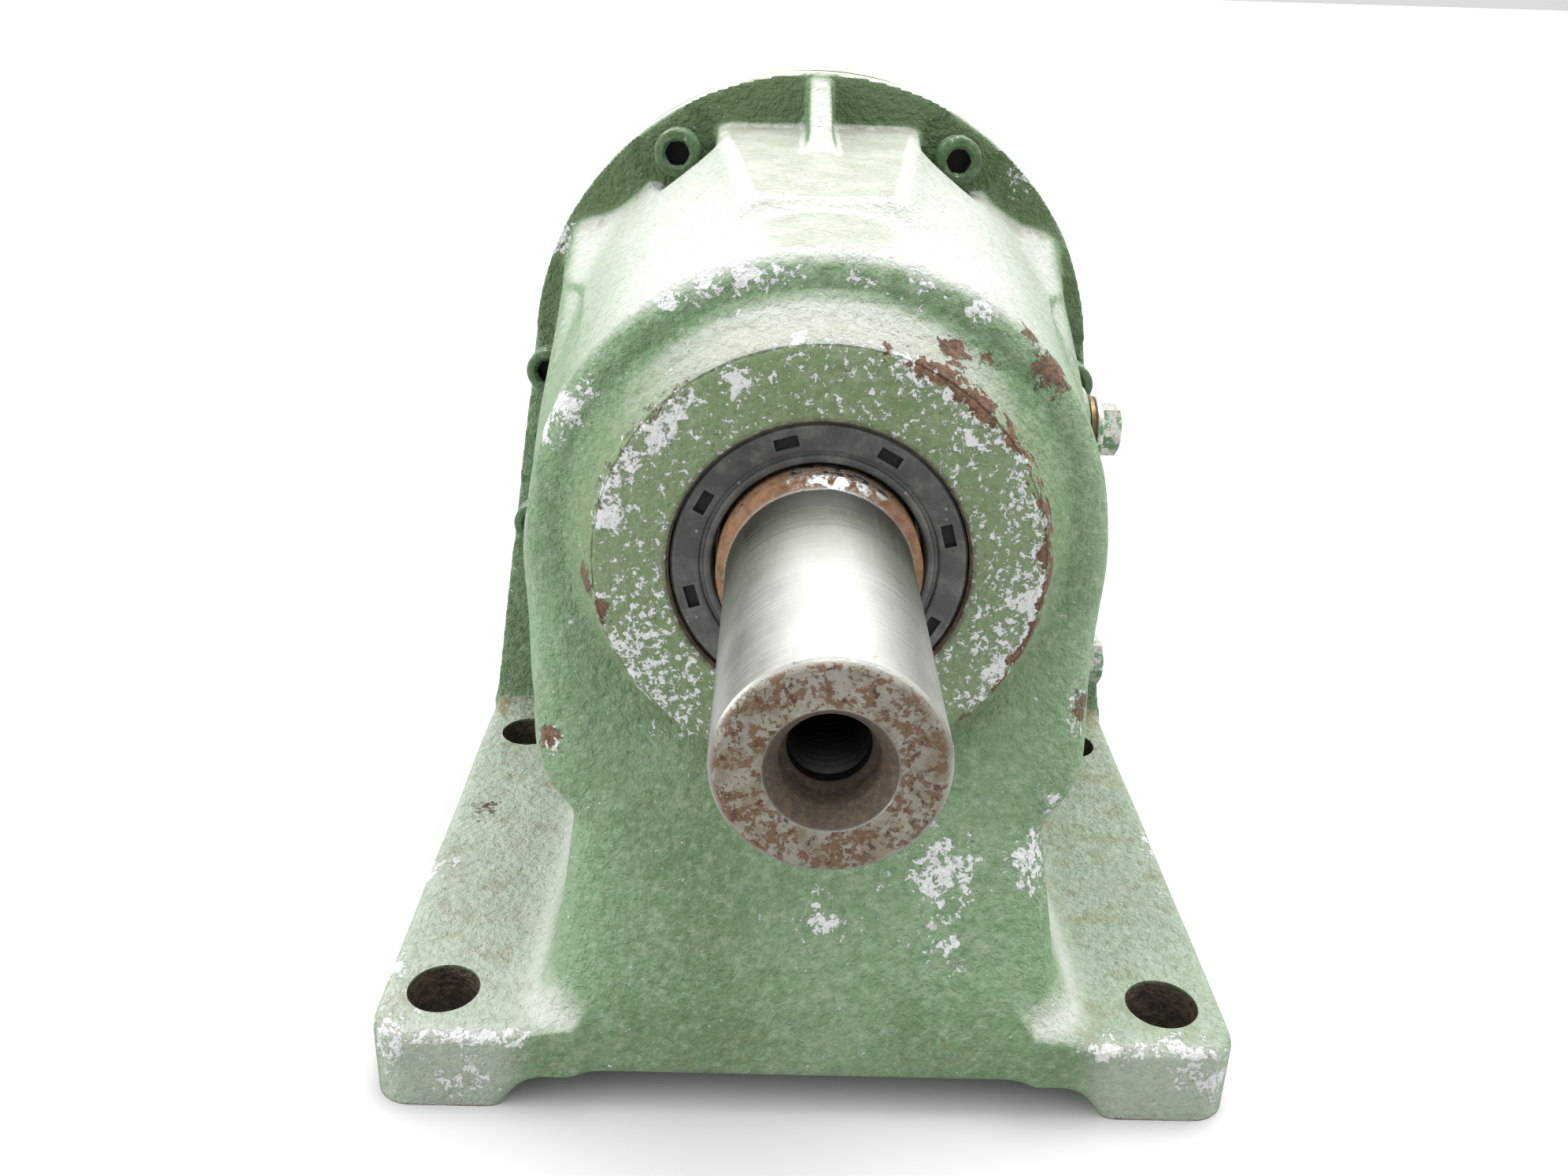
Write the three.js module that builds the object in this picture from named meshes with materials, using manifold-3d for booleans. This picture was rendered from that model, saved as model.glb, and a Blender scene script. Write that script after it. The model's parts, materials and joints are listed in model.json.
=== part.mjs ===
// Inline (coaxial) foot-mounted gear reducer, in millimetres, +Z up.
// The output shaft points towards -Y and the input shaft towards +Y, on one axis.
// Everything is drawn in the axis frame: Y runs back from the output shaft's end face
// and Z is measured from the shaft axis. One group then moves it so that the foot stands on Z = 0.
import * as THREE from 'three';
import { mergeVertices } from 'three/addons/utils/BufferGeometryUtils.js';
import { ConvexGeometry } from 'three/addons/geometries/ConvexGeometry.js';
import Module from 'manifold-3d';

const wasm = await Module();
wasm.setup();

// ---------- driving dimensions ----------
const AXIS_HEIGHT = 125;
const TOTAL_LENGTH = 347;
const GAP = 0.3; // clearance between pieces that touch
const FINE = 32; // sides of a large round
const COARSE = 20; // sides of a small round

// foot
const FOOT_HALF_WIDTH = 100;
const FOOT_TOP = -104.5;
const FOOT_FRONT = 55.5;
const FOOT_CORNER = 11;
const FOOT_HOLE_RADIUS = 8.5;
const FOOT_HOLE_X = 85;
const FOOT_HOLE_Y = [72, 195];
const RELIEF_HEIGHT = 8.5;
const RELIEF_TOP_HALF = 57.5;
const RELIEF_BOTTOM_HALF = 69;

// outer body
const BOSS_FACE = 83.7;
const BOSS_RADIUS = 49.5;
const GROOVE_RADIUS = 59.4;
const WALL_FRONT = 97;
const BARREL_RADIUS = 65.5;
const BARREL_REAR_RADIUS = 76.5;
const SHELF_HALF_WIDTH = 71;
const WAIST_HALF_WIDTH = 55.4;
const BODY_FOOT_HALF_WIDTH = 64;
const PAD = { front: 135, frontZ: 70.6, backZ: 77.8, frontHalf: 20.5, backHalf: 27.5 };
const RIB = { front: 177, frontZ: 74, backZ: 91.9, half: 3 };

// rear flange and cover
const FLANGE_FRONT = 217.4;
const FLANGE_BACK = 231.4;
const FLANGE_ARC_RADIUS = 82;
const FLANGE_ARC_Z = 10.5;
const COVER_FRONT = 232.8;
const COVER_BACK = 246.8;
const COVER_BOTTOM = -112;
const HUB_END = 296;
const HUB_RADIUS = 46;
const HUB_END_RADIUS = 37;

// flange screws, M8 socket heads on the flange's front face
const SCREW_HEAD_RADIUS = 6.5;
const SCREW_HEAD_HEIGHT = 8;
const SCREW_RADIUS = 4;
const SCREW_SEAT_RADIUS = 10;
const SCREW_PLACES = { top: [39, 70.8], upper: [77, 8], middle: [83, -40], lower: [70, -88] };

// gear train: 16/34 then 12/38, both stages on one centre distance
const MODULE = 2.5;
const PRESSURE_ANGLE = THREE.MathUtils.degToRad(25);
const BACKLASH = 0.5;
const TEETH = { inputPinion: 16, intermediateGear: 34, intermediatePinion: 12, outputGear: 38 };
const CENTRE_DISTANCE = ((TEETH.intermediatePinion + TEETH.outputGear) * MODULE) / 2;
const SECOND_STAGE = { pinion: [168, 198], gear: [170, 196] };
const FIRST_STAGE = { pinion: [204, 222], gear: [205, 221] };

// space round the gears: radius about the shaft axis and about the intermediate axis
const GEAR_SPACE = [57.5, 48.2];

// shafts: radii
const OUTPUT_SHAFT = { end: 20, sealLand: 22.2, collar: 26, gearSeat: 21 };
const INTERMEDIATE_SHAFT = { gearSeat: 11, collar: 13.5 };
const INPUT_SHAFT = { end: 12, neck: 14, collar: 18 };
const CENTRE_HOLE = { thread: 7, counterbore: 8.5, mouth: 11.3, depth: 46 };

// bearings: bore radius, outer radius, width, balls
const BEARING_45 = { inner: 22.5, outer: 37.5, width: 16, balls: 8 };
const BEARING_17 = { inner: 8.5, outer: 20, width: 12, balls: 7 };
const BEARING_30 = { inner: 15, outer: 31, width: 16, balls: 8 };

// ---------- materials ----------
const COLOURS = {
  casting: [0x76a276, 0.7, 0.1],
  steel: [0xb9bab8, 0.35, 0.9],
  hardened: [0x8f9192, 0.3, 0.9],
  blackened: [0x35383a, 0.5, 0.6],
  screw: [0x5d7d5e, 0.6, 0.3],
  rubber: [0x1b1b1d, 0.8, 0.0],
  paper: [0x6b6354, 0.9, 0.0],
  copper: [0xa9683f, 0.4, 0.9],
};

function material(name) {
  const [color, roughness, metalness] = COLOURS[name];
  return new THREE.MeshStandardMaterial({ color, roughness, metalness });
}

// ---------- geometry helpers ----------
function solid(geometry) {
  const bare = geometry.clone();
  bare.deleteAttribute('normal');
  bare.deleteAttribute('uv');
  const merged = mergeVertices(bare, 1e-4);
  const vertProperties = new Float32Array(merged.attributes.position.array);
  const triVerts = new Uint32Array(merged.index.array);
  return new wasm.Manifold(new wasm.Mesh({ numProp: 3, vertProperties, triVerts }));
}

function toGeometry(manifold) {
  const mesh = manifold.getMesh();
  const geometry = new THREE.BufferGeometry();
  geometry.setAttribute('position', new THREE.BufferAttribute(mesh.vertProperties, 3));
  geometry.setIndex(new THREE.BufferAttribute(mesh.triVerts, 1));
  geometry.computeVertexNormals();
  return geometry;
}

// A solid of revolution about the shaft axis; each profile point is [radius, y].
function turned(profile, sides = FINE) {
  return new THREE.LatheGeometry(profile.map(([r, y]) => new THREE.Vector2(r, y)), sides);
}

function rod(radius, front, back, x = 0, z = 0, sides = COARSE) {
  return turned([[0, front], [radius, front], [radius, back], [0, back]], sides).translate(x, 0, z);
}

function ring(inner, outer, front, back, sides = FINE) {
  const section = [[inner, front], [outer, front], [outer, back], [inner, back], [inner, front]];
  return turned(section, sides);
}

function block(x, y, z) {
  const size = [x[1] - x[0], y[1] - y[0], z[1] - z[0]];
  const centre = [(x[0] + x[1]) / 2, (y[0] + y[1]) / 2, (z[0] + z[1]) / 2];
  return new THREE.BoxGeometry(...size).translate(...centre);
}

// An outline in X and Z, pushed along Y.
function pushedBack(shape, front, back, curveSegments = 6) {
  const geometry = new THREE.ExtrudeGeometry(shape, {
    depth: back - front, bevelEnabled: false, curveSegments,
  });
  return geometry.rotateX(Math.PI / 2).translate(0, back, 0);
}

// An outline in Y and Z, pushed along X from -half to +half.
function pushedAcross(points, half) {
  const shape = new THREE.Shape(points.map(([y, z]) => new THREE.Vector2(y, z)));
  const geometry = new THREE.ExtrudeGeometry(shape, { depth: 2 * half, bevelEnabled: false });
  const basis = new THREE.Matrix4().makeBasis(
    new THREE.Vector3(0, 1, 0), new THREE.Vector3(0, 0, 1), new THREE.Vector3(1, 0, 0),
  );
  return geometry.applyMatrix4(basis).translate(-half, 0, 0);
}

// The smallest convex solid round points given for the right-hand side, mirrored to the left.
function mirroredHull(points) {
  const both = points.flatMap(([x, y, z]) => [new THREE.Vector3(x, y, z), new THREE.Vector3(-x, y, z)]);
  return new ConvexGeometry(both);
}

function joined(geometries) {
  return geometries.map(solid).reduce((whole, next) => whole.add(next));
}

function cut(manifold, geometries) {
  return geometries.map(solid).reduce((whole, next) => whole.subtract(next), manifold);
}

// ---------- outlines ----------
const SIDE_SLOPE = Math.atan2(FOOT_HALF_WIDTH - 83.5, 16 - FOOT_TOP);

// A round top whose straight sides flare to the foot, then drop to the given bottom.
function flangeOutline(bottom, grow = 0) {
  const radius = FLANGE_ARC_RADIUS + grow;
  const shape = new THREE.Shape();
  shape.moveTo(-FOOT_HALF_WIDTH, bottom);
  shape.lineTo(FOOT_HALF_WIDTH, bottom);
  shape.lineTo(FOOT_HALF_WIDTH, FOOT_TOP);
  shape.absarc(0, FLANGE_ARC_Z, radius, SIDE_SLOPE, Math.PI - SIDE_SLOPE, false);
  shape.lineTo(-FOOT_HALF_WIDTH, FOOT_TOP);
  return shape;
}

// Front view of the body below the barrel: straight sides, a waist, and a flare into the foot.
function bodyOutline() {
  const shape = new THREE.Shape();
  const bottom = FOOT_TOP - 10;
  const foot = BODY_FOOT_HALF_WIDTH;
  const waist = WAIST_HALF_WIDTH;
  const side = BARREL_RADIUS;
  const shoulder = 58;
  shape.moveTo(-foot, bottom);
  shape.lineTo(foot, bottom);
  shape.lineTo(foot, FOOT_TOP);
  shape.quadraticCurveTo(waist + 4.1, FOOT_TOP + 1, waist + 3.4, -96);
  shape.lineTo(waist, -66);
  shape.bezierCurveTo(waist, -56, side, -58, side, -43);
  shape.lineTo(side, 0);
  shape.lineTo(shoulder, 22);
  shape.lineTo(-shoulder, 22);
  shape.lineTo(-side, 0);
  shape.lineTo(-side, -43);
  shape.bezierCurveTo(-side, -58, -waist, -56, -waist, -66);
  shape.lineTo(-waist - 3.4, -96);
  shape.quadraticCurveTo(-waist - 4.1, FOOT_TOP + 1, -foot, FOOT_TOP);
  return shape;
}

// ---------- gear case ----------
function footSolid() {
  const left = -FOOT_HALF_WIDTH;
  const right = FOOT_HALF_WIDTH;
  const c = FOOT_CORNER;
  const plan = new THREE.Shape();
  plan.moveTo(left + c, FOOT_FRONT);
  plan.lineTo(right - c, FOOT_FRONT);
  plan.absarc(right - c, FOOT_FRONT + c, c, -Math.PI / 2, 0, false);
  plan.lineTo(right, FLANGE_BACK);
  plan.lineTo(left, FLANGE_BACK);
  plan.absarc(left + c, FOOT_FRONT + c, c, Math.PI, 1.5 * Math.PI, false);
  const depth = FOOT_TOP + AXIS_HEIGHT;
  const plate = new THREE.ExtrudeGeometry(plan, { depth, bevelEnabled: false, curveSegments: 6 });
  return plate.translate(0, 0, -AXIS_HEIGHT);
}

function footCuts() {
  const bottom = -AXIS_HEIGHT - 1;
  const top = RELIEF_HEIGHT - AXIS_HEIGHT;
  const channel = new THREE.Shape();
  channel.moveTo(-RELIEF_BOTTOM_HALF, bottom);
  channel.lineTo(RELIEF_BOTTOM_HALF, bottom);
  channel.quadraticCurveTo(RELIEF_BOTTOM_HALF - 3, top, RELIEF_TOP_HALF, top);
  channel.lineTo(-RELIEF_TOP_HALF, top);
  channel.quadraticCurveTo(3 - RELIEF_BOTTOM_HALF, top, -RELIEF_BOTTOM_HALF, bottom);
  const cuts = [pushedBack(channel, FOOT_FRONT - 5, FLANGE_BACK + 5, 5)];
  for (const x of [-FOOT_HOLE_X, FOOT_HOLE_X]) {
    for (const y of FOOT_HOLE_Y) {
      const hole = new THREE.CylinderGeometry(FOOT_HOLE_RADIUS, FOOT_HOLE_RADIUS, 40, COARSE);
      cuts.push(hole.rotateX(Math.PI / 2).translate(x, y, -AXIS_HEIGHT + 10));
    }
  }
  return cuts;
}

function barrelSolid() {
  const round = 6;
  const profile = [[0, BOSS_FACE], [BOSS_RADIUS - 1, BOSS_FACE], [BOSS_RADIUS, BOSS_FACE + 1.2]];
  profile.push([53.5, 93.5], [GROOVE_RADIUS, WALL_FRONT + 0.6]);
  for (let step = 0; step <= 3; step += 1) {
    const angle = (step / 3) * (Math.PI / 2);
    const radius = BARREL_RADIUS - round + round * Math.sin(angle);
    profile.push([radius + 0.02, WALL_FRONT + round - round * Math.cos(angle)]);
  }
  profile.push([BARREL_REAR_RADIUS, FLANGE_FRONT + 5], [0, FLANGE_FRONT + 5]);
  return turned(profile, 40);
}

// The straight-sided block under the barrel, its front wall leaning out towards the foot.
function lowerBlock() {
  const outline = solid(pushedBack(bodyOutline(), FOOT_FRONT, FLANGE_FRONT + 5, 6));
  const wallFoot = FOOT_FRONT + 0.7;
  const side = [
    [wallFoot, FOOT_TOP - 10], [wallFoot, FOOT_TOP], [84, -49], [93, -28], [WALL_FRONT + 0.8, -8],
    [WALL_FRONT + 6, 20], [WALL_FRONT + 6, 90], [FLANGE_FRONT + 5, 90], [FLANGE_FRONT + 5, FOOT_TOP - 10],
  ];
  return outline.intersect(solid(pushedAcross(side, 80)));
}

// The wider gear chamber behind the waist, whose top falls forward as a shelf on each side.
function chamberBlocks() {
  const back = FLANGE_FRONT + 3;
  const shelf = mirroredHull([
    [BARREL_RADIUS, 104, 0], [BARREL_RADIUS, 104, -40], [BARREL_RADIUS - 5, 104, 22],
    [66.5, 130, 10], [SHELF_HALF_WIDTH, back, 51], [SHELF_HALF_WIDTH - 4, back, 54],
    [SHELF_HALF_WIDTH, back, -40],
  ]);
  const lower = mirroredHull([
    [64, 164, -30], [SHELF_HALF_WIDTH, 176, -30], [SHELF_HALF_WIDTH, back, -30],
    [57, 164, -112], [66, 176, -112], [66, back, -112],
  ]);
  return [shelf, lower];
}

// The sloping pad on top of the barrel and the thin rib that runs up to the flange.
function topPadAndRib() {
  const back = FLANGE_FRONT + 2;
  const root = 50; // inside the barrel
  const pad = mirroredHull([
    [PAD.frontHalf, PAD.front, PAD.frontZ], [PAD.frontHalf + 2, PAD.front - 3, PAD.frontZ - 6],
    [PAD.backHalf, back, PAD.backZ], [PAD.backHalf + 2, back, PAD.backZ - 6],
    [PAD.frontHalf + 2, PAD.front - 3, root], [PAD.backHalf + 2, back, root],
  ]);
  const rib = mirroredHull([
    [RIB.half - 0.5, RIB.front, RIB.frontZ], [RIB.half - 0.5, back, RIB.backZ],
    [RIB.half, RIB.front, root], [RIB.half, back, root],
  ]);
  return [pad, rib];
}

// The oil plugs on the right-hand side; face is the X of the boss that each screws into.
const PLUGS = { fill: { y: 180, z: 4, face: 75 }, drain: { y: 186, z: -70, face: 80 } };
const PLUG_HOLE_RADIUS = 6.6;
const PLUG_SIDES = 24;

// A cone or rod along X from start to end, at each plug's place.
function alongPlug({ y, z }, outerRadius, innerRadius, start, end) {
  const geometry = new THREE.CylinderGeometry(outerRadius, innerRadius, end - start, PLUG_SIDES);
  return geometry.rotateZ(-Math.PI / 2).translate((start + end) / 2, y, z);
}

function plugBosses() {
  return Object.values(PLUGS).map((plug) => alongPlug(plug, 11, 12.5, 55, plug.face));
}

function plugHoles() {
  const radius = PLUG_HOLE_RADIUS;
  return Object.values(PLUGS).map((plug) => alongPlug(plug, radius, radius, 41, plug.face + 1));
}

// Capsule-shaped space round both shafts, for the gears.
function gearSpace(upperRadius, lowerRadius, front, back) {
  const points = [];
  for (const [radius, z] of [[upperRadius, 0], [lowerRadius, -CENTRE_DISTANCE]]) {
    for (let step = 0; step < COARSE; step += 1) {
      const angle = (step / COARSE) * 2 * Math.PI;
      for (const y of [front, back]) {
        points.push(new THREE.Vector3(radius * Math.cos(angle), y, z + radius * Math.sin(angle)));
      }
    }
  }
  return new ConvexGeometry(points);
}

const CROSS_WALL = [146, 166.5];
const OIL_PASSAGES = [{ radius: 8, x: 40, z: -62 }, { radius: 6, x: 35, z: 33.5 }];

// Holes through the cross wall that let the oil run between its two sides.
function oilPassages() {
  return OIL_PASSAGES.flatMap(({ radius, x, z }) => (
    [-x, x].map((across) => rod(radius, CROSS_WALL[0] - 5, 200, across, z, 16))
  ));
}

// Hollow between the front wall and the cross wall, round the bearing carrier.
function frontChamber() {
  const space = solid(gearSpace(54, 46, 106, CROSS_WALL[0]));
  const carrier = solid(rod(44, 90, CROSS_WALL[0] + 5, 0, 0, FINE));
  const web = solid(block([-4, 4], [90, 150], [0, 70]));
  return space.subtract(carrier).subtract(web);
}

function screwPlaces() {
  return Object.entries(SCREW_PLACES).flatMap(([name, [x, z]]) => [
    { name: `flange_screw_${name}_left`, x: -x, z },
    { name: `flange_screw_${name}_right`, x, z },
  ]);
}

function screwSeats() {
  return screwPlaces().flatMap(({ x, z }) => [
    rod(SCREW_SEAT_RADIUS, 200, FLANGE_FRONT, x, z, 16),
    rod(SCREW_RADIUS + 0.5, 200, FLANGE_BACK + 5, x, z, 12),
  ]);
}

const SEAL_RADIUS = 32.5;
const SEAL_FACE = 85.2;
const SEAL_WIDTH = 8;
const SEAL_BACK = SEAL_FACE + SEAL_WIDTH;
const INPUT_SEAL_FACE = 295;
const OUTPUT_BEARINGS = [97, 146];
const INTERMEDIATE_BEARINGS = [150, 226];
const INPUT_BEARINGS = [236.5, 267];
const SNAP_GROOVE = 2.6;

function gearCase() {
  const shell = joined([
    barrelSolid(), footSolid(), ...chamberBlocks(), ...topPadAndRib(), ...plugBosses(),
    pushedBack(flangeOutline(-AXIS_HEIGHT), FLANGE_FRONT, FLANGE_BACK, 18),
  ]).add(lowerBlock());
  const outputBearingBack = OUTPUT_BEARINGS[1] + BEARING_45.width;
  return cut(shell, [
    ...footCuts(),
    ...plugHoles(),
    ...screwSeats(),
    gearSpace(...GEAR_SPACE, CROSS_WALL[1], FLANGE_BACK + 5),
    rod(SEAL_RADIUS, BOSS_FACE - 5, SEAL_BACK + GAP, 0, 0, FINE),
    rod(29, BOSS_FACE, 100, 0, 0, FINE),
    rod(BEARING_45.outer + GAP, OUTPUT_BEARINGS[0] - GAP, CROSS_WALL[1] + 5, 0, 0, FINE),
    rod(BEARING_45.outer + 2, outputBearingBack + GAP, outputBearingBack + GAP + SNAP_GROOVE, 0, 0, FINE),
    rod(BEARING_17.outer + GAP, INTERMEDIATE_BEARINGS[0] - GAP, 200, 0, -CENTRE_DISTANCE, FINE),
    ...oilPassages(),
  ]).subtract(frontChamber());
}

// ---------- input cover and gasket ----------
// One of the cover's four ribs, from the hub out to a point near the flange's edge.
function coverRib(side, height) {
  const half = 3;
  const thickness = 5;
  const start = [side * 20, height * 0.2];
  const end = [side * 66, height];
  const corners = [];
  for (const [[x, z], crest] of [[start, HUB_END - 14], [end, COVER_BACK + 2]]) {
    for (const across of [-half, half]) {
      for (const y of [COVER_BACK - 2, crest]) {
        for (const up of [0, thickness]) {
          corners.push(new THREE.Vector3(x + across, y, z + up));
        }
      }
    }
  }
  return new ConvexGeometry(corners);
}

function inputCover() {
  const pocketRadius = 27;
  const hub = turned([
    [0, COVER_FRONT], [HUB_RADIUS, COVER_FRONT], [HUB_RADIUS, COVER_BACK], [HUB_RADIUS - 3, COVER_BACK + 6],
    [HUB_END_RADIUS + 2, HUB_END - 2], [HUB_END_RADIUS, HUB_END], [0, HUB_END],
  ]);
  const plate = pushedBack(flangeOutline(COVER_BOTTOM), COVER_FRONT, COVER_BACK, 18);
  const pocket = rod(pocketRadius, INTERMEDIATE_BEARINGS[1] - 0.5, 243, 0, -CENTRE_DISTANCE, FINE);
  const bulge = rod(pocketRadius - 2, COVER_BACK - 5, COVER_BACK + 5, 0, -CENTRE_DISTANCE, FINE);
  const ribs = [-1, 1].flatMap((side) => [52, -30].map((height) => coverRib(side, height)));
  const snapFront = INPUT_BEARINGS[1] + BEARING_30.width + GAP;
  const threads = screwPlaces().map(({ x, z }) => rod(SCREW_RADIUS + GAP, 200, COVER_BACK - 2, x, z, 12));
  return cut(joined([hub, plate, pocket, bulge, ...ribs]), [
    rod(BEARING_30.outer - 4, COVER_FRONT - 5, INPUT_BEARINGS[0], 0, 0, FINE),
    rod(BEARING_30.outer + GAP, INPUT_BEARINGS[0] - GAP, HUB_END + 5, 0, 0, FINE),
    rod(BEARING_30.outer + 2, snapFront, snapFront + SNAP_GROOVE, 0, 0, FINE),
    rod(
      BEARING_17.outer + GAP, INTERMEDIATE_BEARINGS[1] - 5,
      INTERMEDIATE_BEARINGS[1] + BEARING_17.width + GAP, 0, -CENTRE_DISTANCE, FINE,
    ),
    ...threads,
  ]);
}

function coverGasket() {
  const outline = flangeOutline(COVER_BOTTOM, -0.8);
  const sheet = pushedBack(outline, FLANGE_BACK + GAP, COVER_FRONT - GAP, 18);
  const holes = screwPlaces().map(({ x, z }) => rod(SCREW_RADIUS + GAP, 200, 260, x, z, 12));
  return cut(solid(sheet), [gearSpace(...GEAR_SPACE, 225, 240), ...holes]);
}

// ---------- screws, plugs, keys ----------
const SOCKET_WIDTH = 6; // across flats
const SOCKET_DEPTH = 4.5;

function socketScrew(x, z) {
  const head = FLANGE_FRONT - GAP - SCREW_HEAD_HEIGHT;
  const seat = FLANGE_FRONT - GAP;
  const tip = COVER_BACK - 2.8;
  const body = turned([
    [0, head], [SCREW_HEAD_RADIUS - 0.6, head], [SCREW_HEAD_RADIUS, head + 0.6],
    [SCREW_HEAD_RADIUS, seat], [SCREW_RADIUS, seat], [SCREW_RADIUS, tip - 0.8],
    [SCREW_RADIUS - 0.8, tip], [0, tip],
  ], 16);
  const socket = rod(SOCKET_WIDTH / Math.sqrt(3), head - 1, head + SOCKET_DEPTH, 0, 0, 6);
  return cut(solid(body), [socket]).translate([x, 0, z]);
}

const WASHER_THICKNESS = 1.5;

// Drawn along +Y from its seat, then turned to point along +X.
function hexPlug({ y, z, face }) {
  const seat = face + GAP + WASHER_THICKNESS + GAP;
  const stem = PLUG_HOLE_RADIUS - 0.5;
  const collar = turned([
    [0, -14], [stem - 0.9, -14], [stem, -13], [stem, 0], [9, 0], [9, 2], [0, 2],
  ], PLUG_SIDES);
  const head = new THREE.CylinderGeometry(7.5, 7.5, 6, 6).translate(0, 4.5, 0);
  const whole = joined([collar, head]);
  return whole.rotate([0, 0, -90]).translate([seat, y, z]);
}

function plugWasher({ y, z, face }) {
  const washer = ring(PLUG_HOLE_RADIUS - 0.2, 9.3, 0, WASHER_THICKNESS, PLUG_SIDES);
  return washer.rotateZ(-Math.PI / 2).translate(face + GAP, y, z);
}

// A round-ended parallel key lying along Y, from z low to high, in the middle of X.
function roundEndKey(width, front, back, low, high) {
  const half = width / 2;
  const plan = new THREE.Shape();
  plan.moveTo(half, front + half);
  plan.lineTo(half, back - half);
  plan.absarc(0, back - half, half, 0, Math.PI, false);
  plan.lineTo(-half, front + half);
  plan.absarc(0, front + half, half, Math.PI, 2 * Math.PI, false);
  const stock = new THREE.ExtrudeGeometry(plan, { depth: high - low, bevelEnabled: false, curveSegments: 4 });
  return stock.translate(0, 0, low);
}

const KEYS = {
  output: { width: 12, front: 8, back: 71, low: -23, high: -15 },
  outputGear: { width: 12, front: 171, back: 195, low: 16, high: 24 },
  intermediateGear: { width: 6, front: 206, back: 220, low: 7.5, high: 13.5 },
  input: { width: 8, front: 301, back: 341, low: 8, high: 15 },
};

function key(name, grow = 0) {
  const { width, front, back, low, high } = KEYS[name];
  return roundEndKey(width + 2 * grow, front - grow, back + grow, low - grow, high + grow);
}

// ---------- gears ----------
function involute(angle) {
  return Math.tan(angle) - angle;
}

// Outline of a gear with involute flanks; one tooth points along toothAngle.
function gearOutline(teeth, toothAngle) {
  const pitch = (teeth * MODULE) / 2;
  const base = pitch * Math.cos(PRESSURE_ANGLE);
  const tip = pitch + MODULE;
  const root = pitch - 1.25 * MODULE;
  const halfTooth = (Math.PI * MODULE / 2 - BACKLASH / 2) / 2 / pitch;
  const halfAngle = (radius) => {
    const roll = Math.acos(Math.min(1, base / radius));
    return halfTooth + involute(PRESSURE_ANGLE) - involute(roll);
  };
  const start = Math.max(base, root);
  const flank = start > root ? [[root, halfAngle(base)]] : [];
  const steps = 2;
  for (let step = 0; step <= steps; step += 1) {
    const radius = start + (tip - start) * (step / steps);
    flank.push([radius, halfAngle(radius)]);
  }
  const points = [];
  for (let tooth = 0; tooth < teeth; tooth += 1) {
    const centre = toothAngle + (tooth / teeth) * 2 * Math.PI;
    for (const [radius, half] of flank) {
      points.push([radius, centre - half]);
    }
    for (const [radius, half] of [...flank].reverse()) {
      points.push([radius, centre + half]);
    }
  }
  return new THREE.Shape(points.map(([r, a]) => new THREE.Vector2(r * Math.cos(a), r * Math.sin(a))));
}

const UP = Math.PI / 2;
const DOWN = -Math.PI / 2;

function gearWheel(teeth, toothAngle, [front, back], bore, keyName) {
  const wheel = solid(pushedBack(gearOutline(teeth, toothAngle), front, back));
  const { width, high } = KEYS[keyName];
  const keyway = block([-width / 2 - GAP, width / 2 + GAP], [front - 1, back + 1], [0, high + GAP]);
  return cut(wheel, [rod(bore + GAP, front - 1, back + 1), keyway]);
}

// ---------- shafts ----------
function shaftRingGroove(radius, depth, front) {
  return ring(radius - depth, radius + 5, front, front + 2.2, COARSE);
}

const OUTPUT_SNAP = 196.5;
const INPUT_SNAP = 283.4;

function outputShaft() {
  const seatBack = OUTPUT_BEARINGS[1] + BEARING_45.width + GAP;
  const collarFront = OUTPUT_BEARINGS[0] + BEARING_45.width + GAP;
  const collarBack = OUTPUT_BEARINGS[1] - GAP;
  const back = 201;
  const { end, sealLand, collar, gearSeat } = OUTPUT_SHAFT;
  const { thread, counterbore, mouth, depth } = CENTRE_HOLE;
  const body = turned([
    [0, depth], [thread, depth - 4], [thread, 9.5], [counterbore, 8], [counterbore, 3.6], [mouth, 0],
    [end - 1.6, 0], [end, 1.6], [end, 79.4], [sealLand, 81.4], [sealLand, collarFront],
    [collar, collarFront], [collar, collarBack], [sealLand, collarBack], [sealLand, seatBack],
    [gearSeat, seatBack], [gearSeat, back - 1], [gearSeat - 1, back], [0, back],
  ]);
  return cut(solid(body), [
    key('output', GAP), key('outputGear', GAP), shaftRingGroove(gearSeat, 1.2, OUTPUT_SNAP),
  ]);
}

function intermediateShaft() {
  const [pinionFront, pinionBack] = SECOND_STAGE.pinion;
  const [gearFront, gearBack] = FIRST_STAGE.gear;
  const front = INTERMEDIATE_BEARINGS[0] - 0.2;
  const seatBack = INTERMEDIATE_BEARINGS[0] + BEARING_17.width + 0.5;
  const back = INTERMEDIATE_BEARINGS[1] + BEARING_17.width - 0.5;
  const stub = BEARING_17.inner - GAP;
  const { gearSeat, collar } = INTERMEDIATE_SHAFT;
  const body = turned([
    [0, front], [stub - 1, front], [stub, front + 1], [stub, seatBack], [gearSeat, seatBack],
    [gearSeat, pinionFront + 1], [gearSeat, pinionBack - 1], [collar, pinionBack - 1],
    [collar, gearFront - GAP], [gearSeat, gearFront - GAP], [gearSeat, gearBack + GAP],
    [stub, gearBack + GAP], [stub, back - 1], [stub - 1, back], [0, back],
  ], COARSE);
  const teeth = pushedBack(gearOutline(TEETH.intermediatePinion, UP), pinionFront, pinionBack);
  return cut(joined([body, teeth]), [key('intermediateGear', GAP)]).translate([0, 0, -CENTRE_DISTANCE]);
}

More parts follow.
